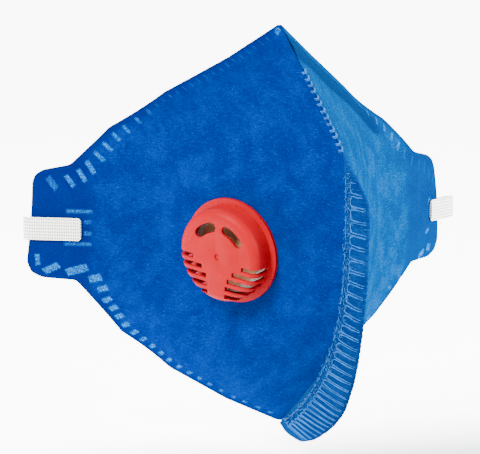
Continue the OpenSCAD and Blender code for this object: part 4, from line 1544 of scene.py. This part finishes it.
@dataclass
class Headband:
    """Flat knitted elastic: two ends on the tabs and the free loop between them."""

    palette: Palette
    width: float = 0.0076
    thick: float = 0.0009
    left: tuple[tuple[float, float, float], ...] = (
        (-61.7, -9.3, 0), (-66.06, -6.16, 0), (-72.06, -1.96, 0), (-75.56, 0.54, 0),
        (-77.01, 1.99, 0), (-77.31, 3.59, 0), (-76.21, 5.19, -0.5), (-73.51, 7.59, -1.5),
    )
    loop: tuple[tuple[float, float, float], ...] = (
        (-68, 12.6, -4), (-61, 18, -8), (-52, 23.6, -12.5),
        (-42, 28.6, -17.5), (-31, 32.6, -22), (-19, 35.6, -26), (-6, 37.4, -29),
        (7, 37.8, -30), (20, 36.6, -28.5), (33, 34, -25), (45, 30.2, -20),
        (56, 25.6, -14.5), (66, 20.6, -9), (74, 16.2, -4.5),
    )
    right: tuple[tuple[float, float, float], ...] = (
        (80.01, 13.19, -2), (83.51, 10.79, -0.5), (84.81, 8.19, 0), (83.01, 5.89, 0),
        (79.01, 2.99, 0), (75.01, 0.19, 0), (71.21, -2.61, 0),
    )

    def build(self) -> list[bpy.types.Object]:
        """Builds the three stretches.

        Returns:
            The pieces.
        """
        route = np.array(self.left + self.loop + self.right) * MM
        whole = smooth_path(route, 0.8 * MM)
        first, last = self.split(whole, route[len(self.left) - 1]), self.split(whole, route[-len(self.right)])
        frames = self.frames(whole)
        ends = self.ribbon("band_on_left_tab", whole, frames, 0, first, (True, False))
        loop = self.ribbon("headband_loop", whole, frames, first, last, (False, False))
        other = self.ribbon("band_on_right_tab", whole, frames, last, len(whole) - 1, (False, True))
        for piece, node in ((ends, "band_end_left"), (loop, "headband"), (other, "band_end_right")):
            self.palette.dress(piece, "elastic", "elastic")
            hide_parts(node)
            log.info("%s: %d faces", piece.name, len(piece.data.polygons))
        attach(ends, Body.LEFT.value)
        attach(other, Body.RIGHT.value)
        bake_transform(loop)
        return [ends, loop, other]

    def split(self, path: np.ndarray, at: np.ndarray) -> int:
        """Index of the path's point nearest a place."""
        return int(np.linalg.norm(path - at, axis=1).argmin())

    def frames(self, path: np.ndarray) -> tuple[np.ndarray, np.ndarray]:
        """Width and face directions along the band."""
        t = unit(np.gradient(path, axis=0))
        side = unit(np.array([0, 0, 1.0]) - t * t[:, 2:])
        return side, np.cross(side, t)

    def ribbon(self, name: str, path: np.ndarray, frames: tuple[np.ndarray, np.ndarray],
               first: int, last: int, cut: tuple[bool, bool]) -> bpy.types.Object:
        """One stretch of band with rounded selvedges.

        Args:
            name: The piece's name.
            path: The whole band's middle.
            frames: Width and face directions along it.
            first: Index where the stretch starts.
            last: Index where it ends.
            cut: Whether each end is cut and bonded down, with rounded corners.

        Returns:
            The piece.
        """
        p, side, face = path[first : last + 1], frames[0][first : last + 1], frames[1][first : last + 1]
        run = np.concatenate([[0], np.cumsum(np.linalg.norm(np.diff(p, axis=0), axis=1))])
        narrow = np.ones(len(p))
        for near, is_cut in ((run, cut[0]), (run[-1] - run, cut[1])):
            if is_cut:
                narrow *= 1 - 0.22 * np.clip(1 - near / (0.9 * MM), 0, 1) ** 2
        turn = np.linspace(0, 2 * math.pi, 41)
        wide = np.sign(np.cos(turn)) * np.abs(np.cos(turn)) ** 0.55
        high = np.sign(np.sin(turn)) * np.abs(np.sin(turn)) ** 0.45
        cord_rows = 1 + 0.06 * np.cos(wide * 7 * math.pi)
        grid = (p[:, None] + side[:, None] * (wide[None, :] * narrow[:, None])[..., None] * self.width / 2
                + face[:, None] * (high * cord_rows)[None, :, None] * self.thick / 2)
        bm = bmesh.new()
        u_layer, v_layer = bm.verts.layers.float.new("u"), bm.verts.layers.float.new("v")
        verts = layout(bm, grid)
        for k, v in enumerate(verts):
            v[u_layer] = run[k // len(turn)] + first * 0.8 * MM
            v[v_layer] = wide[k % len(turn)] * self.width / 2
        close(bm, 2e-6)
        piece = finish_mesh(name, bm, 50)
        values = [piece.data.attributes[n].data for n in ("u", "v")]
        strip_uv(piece, {k: (a.value, b.value) for k, (a, b) in enumerate(zip(*values))})
        return piece


# ------------------------------------------------------------------ the studio


@dataclass
class Studio:
    """Camera, soft light and a pale floor that glows, brighter behind the object."""

    azimuth: float = 21.81
    elevation: float = 6.772
    distance: float = 0.8845
    focal: float = 191.7
    shift: tuple[float, float] = (-0.0044, -0.0174)
    floor_z: float = float(cad_bounds[0][2]) - 0.0008

    def build(self) -> None:
        """Sets up the camera, the lights, the floor and the world."""
        a, e = math.radians(self.azimuth), math.radians(self.elevation)
        camera = bpy.data.cameras.new("camera")
        camera.lens, camera.sensor_width = self.focal, 36.0
        camera.shift_x, camera.shift_y = self.shift
        camera.clip_start, camera.clip_end = 0.05, 50
        holder = bpy.data.objects.new("camera", camera)
        towards = np.array([-math.sin(a) * math.cos(e), -math.cos(a) * math.cos(e), math.sin(e)])
        holder.location = towards * self.distance
        holder.rotation_euler = (math.pi / 2 - e, 0, -a)
        bpy.context.scene.collection.objects.link(holder)
        bpy.context.scene.camera = holder
        self.light("key", (-0.8, -0.45, 0.72), 0.42, 48.0, (1.0, 0.99, 0.97))
        self.light("right_fill", (0.7, -0.75, 0.3), 0.5, 56.0, (0.92, 1.0, 0.96))
        self.light("back", (0.1, 0.9, 0.9), 0.9, 12.0, (1, 1, 1))
        self.floor()
        world = bpy.data.worlds.new("studio")
        bpy.context.scene.world = world
        world.use_nodes = True
        back = world.node_tree.nodes["Background"]
        back.inputs["Color"].default_value = (1.0, 1.0, 1.0, 1.0)
        back.inputs["Strength"].default_value = 0.55

    def light(self, name: str, at: tuple[float, float, float], size: float, power: float,
              colour: Colour) -> None:
        """Adds a soft area light aimed at the object.

        Args:
            name: Its name.
            at: Its place.
            size: Its width.
            power: Its power, in watts.
            colour: Its colour.
        """
        lamp = bpy.data.lights.new(name, "AREA")
        lamp.shape, lamp.size, lamp.energy, lamp.color = "DISK", size, power, colour
        holder = bpy.data.objects.new(name, lamp)
        holder.location = at
        holder.rotation_euler = (-Vector(at)).to_track_quat("-Z", "Y").to_euler()
        bpy.context.scene.collection.objects.link(holder)

    def floor(self) -> None:
        """Adds the floor, which curves up into a backdrop and glows, faintly in front of the object and
        strongly behind it.
        """
        y = np.concatenate([np.linspace(-2.5, 2.2, 12), 2.2 + np.sin(np.linspace(0, 1.5, 14))[1:] * 1.2])
        z = np.concatenate([np.zeros(12), (1 - np.cos(np.linspace(0, 1.5, 14)))[1:] * 1.2])
        x = np.linspace(-4, 4, 9)
        grid = np.stack([np.broadcast_to(x, (len(y), 9)), np.repeat(y[:, None], 9, 1),
                         np.repeat(z[:, None], 9, 1) + self.floor_z], -1)
        bm = bmesh.new()
        layout(bm, grid)
        piece = finish_mesh("floor", bm, 180)
        n = Nodes("glowing_floor")
        tone = n.noise(n.where(False), 3.0, 2.0)
        n.put(n.shader.inputs["Base Color"], n.blend(tone, (0.6, 0.6, 0.6), (0.63, 0.63, 0.63)))
        # Painted light: the floor's emission lights the object from below and behind and whitens the
        # backdrop.
        n.put(n.shader.inputs["Emission Strength"], n.span(n.axis(1), -0.09, 0.02, 0.1, 8.5))
        n.constants(Roughness=0.9, Specular_IOR_Level=0.0, Emission_Color=(1, 1, 1, 1))
        piece.data.materials.append(n.material)


def main() -> None:
    """Builds the studio, then the respirator from the outside in."""
    logging.basicConfig(level=logging.INFO, format="%(message)s")
    Studio().build()
    palette = Palette()
    shape = PanelShape()
    Headband(palette).build()
    for side in Side:
        HalfPanel(shape, side, palette).build()
    FrontSeam(shape, palette).build()
    RidgeSeam(shape, palette).build()
    NoseClip(shape, palette).build()
    ExhalationValve(palette).build()


if __name__ == "__main__":
    main()
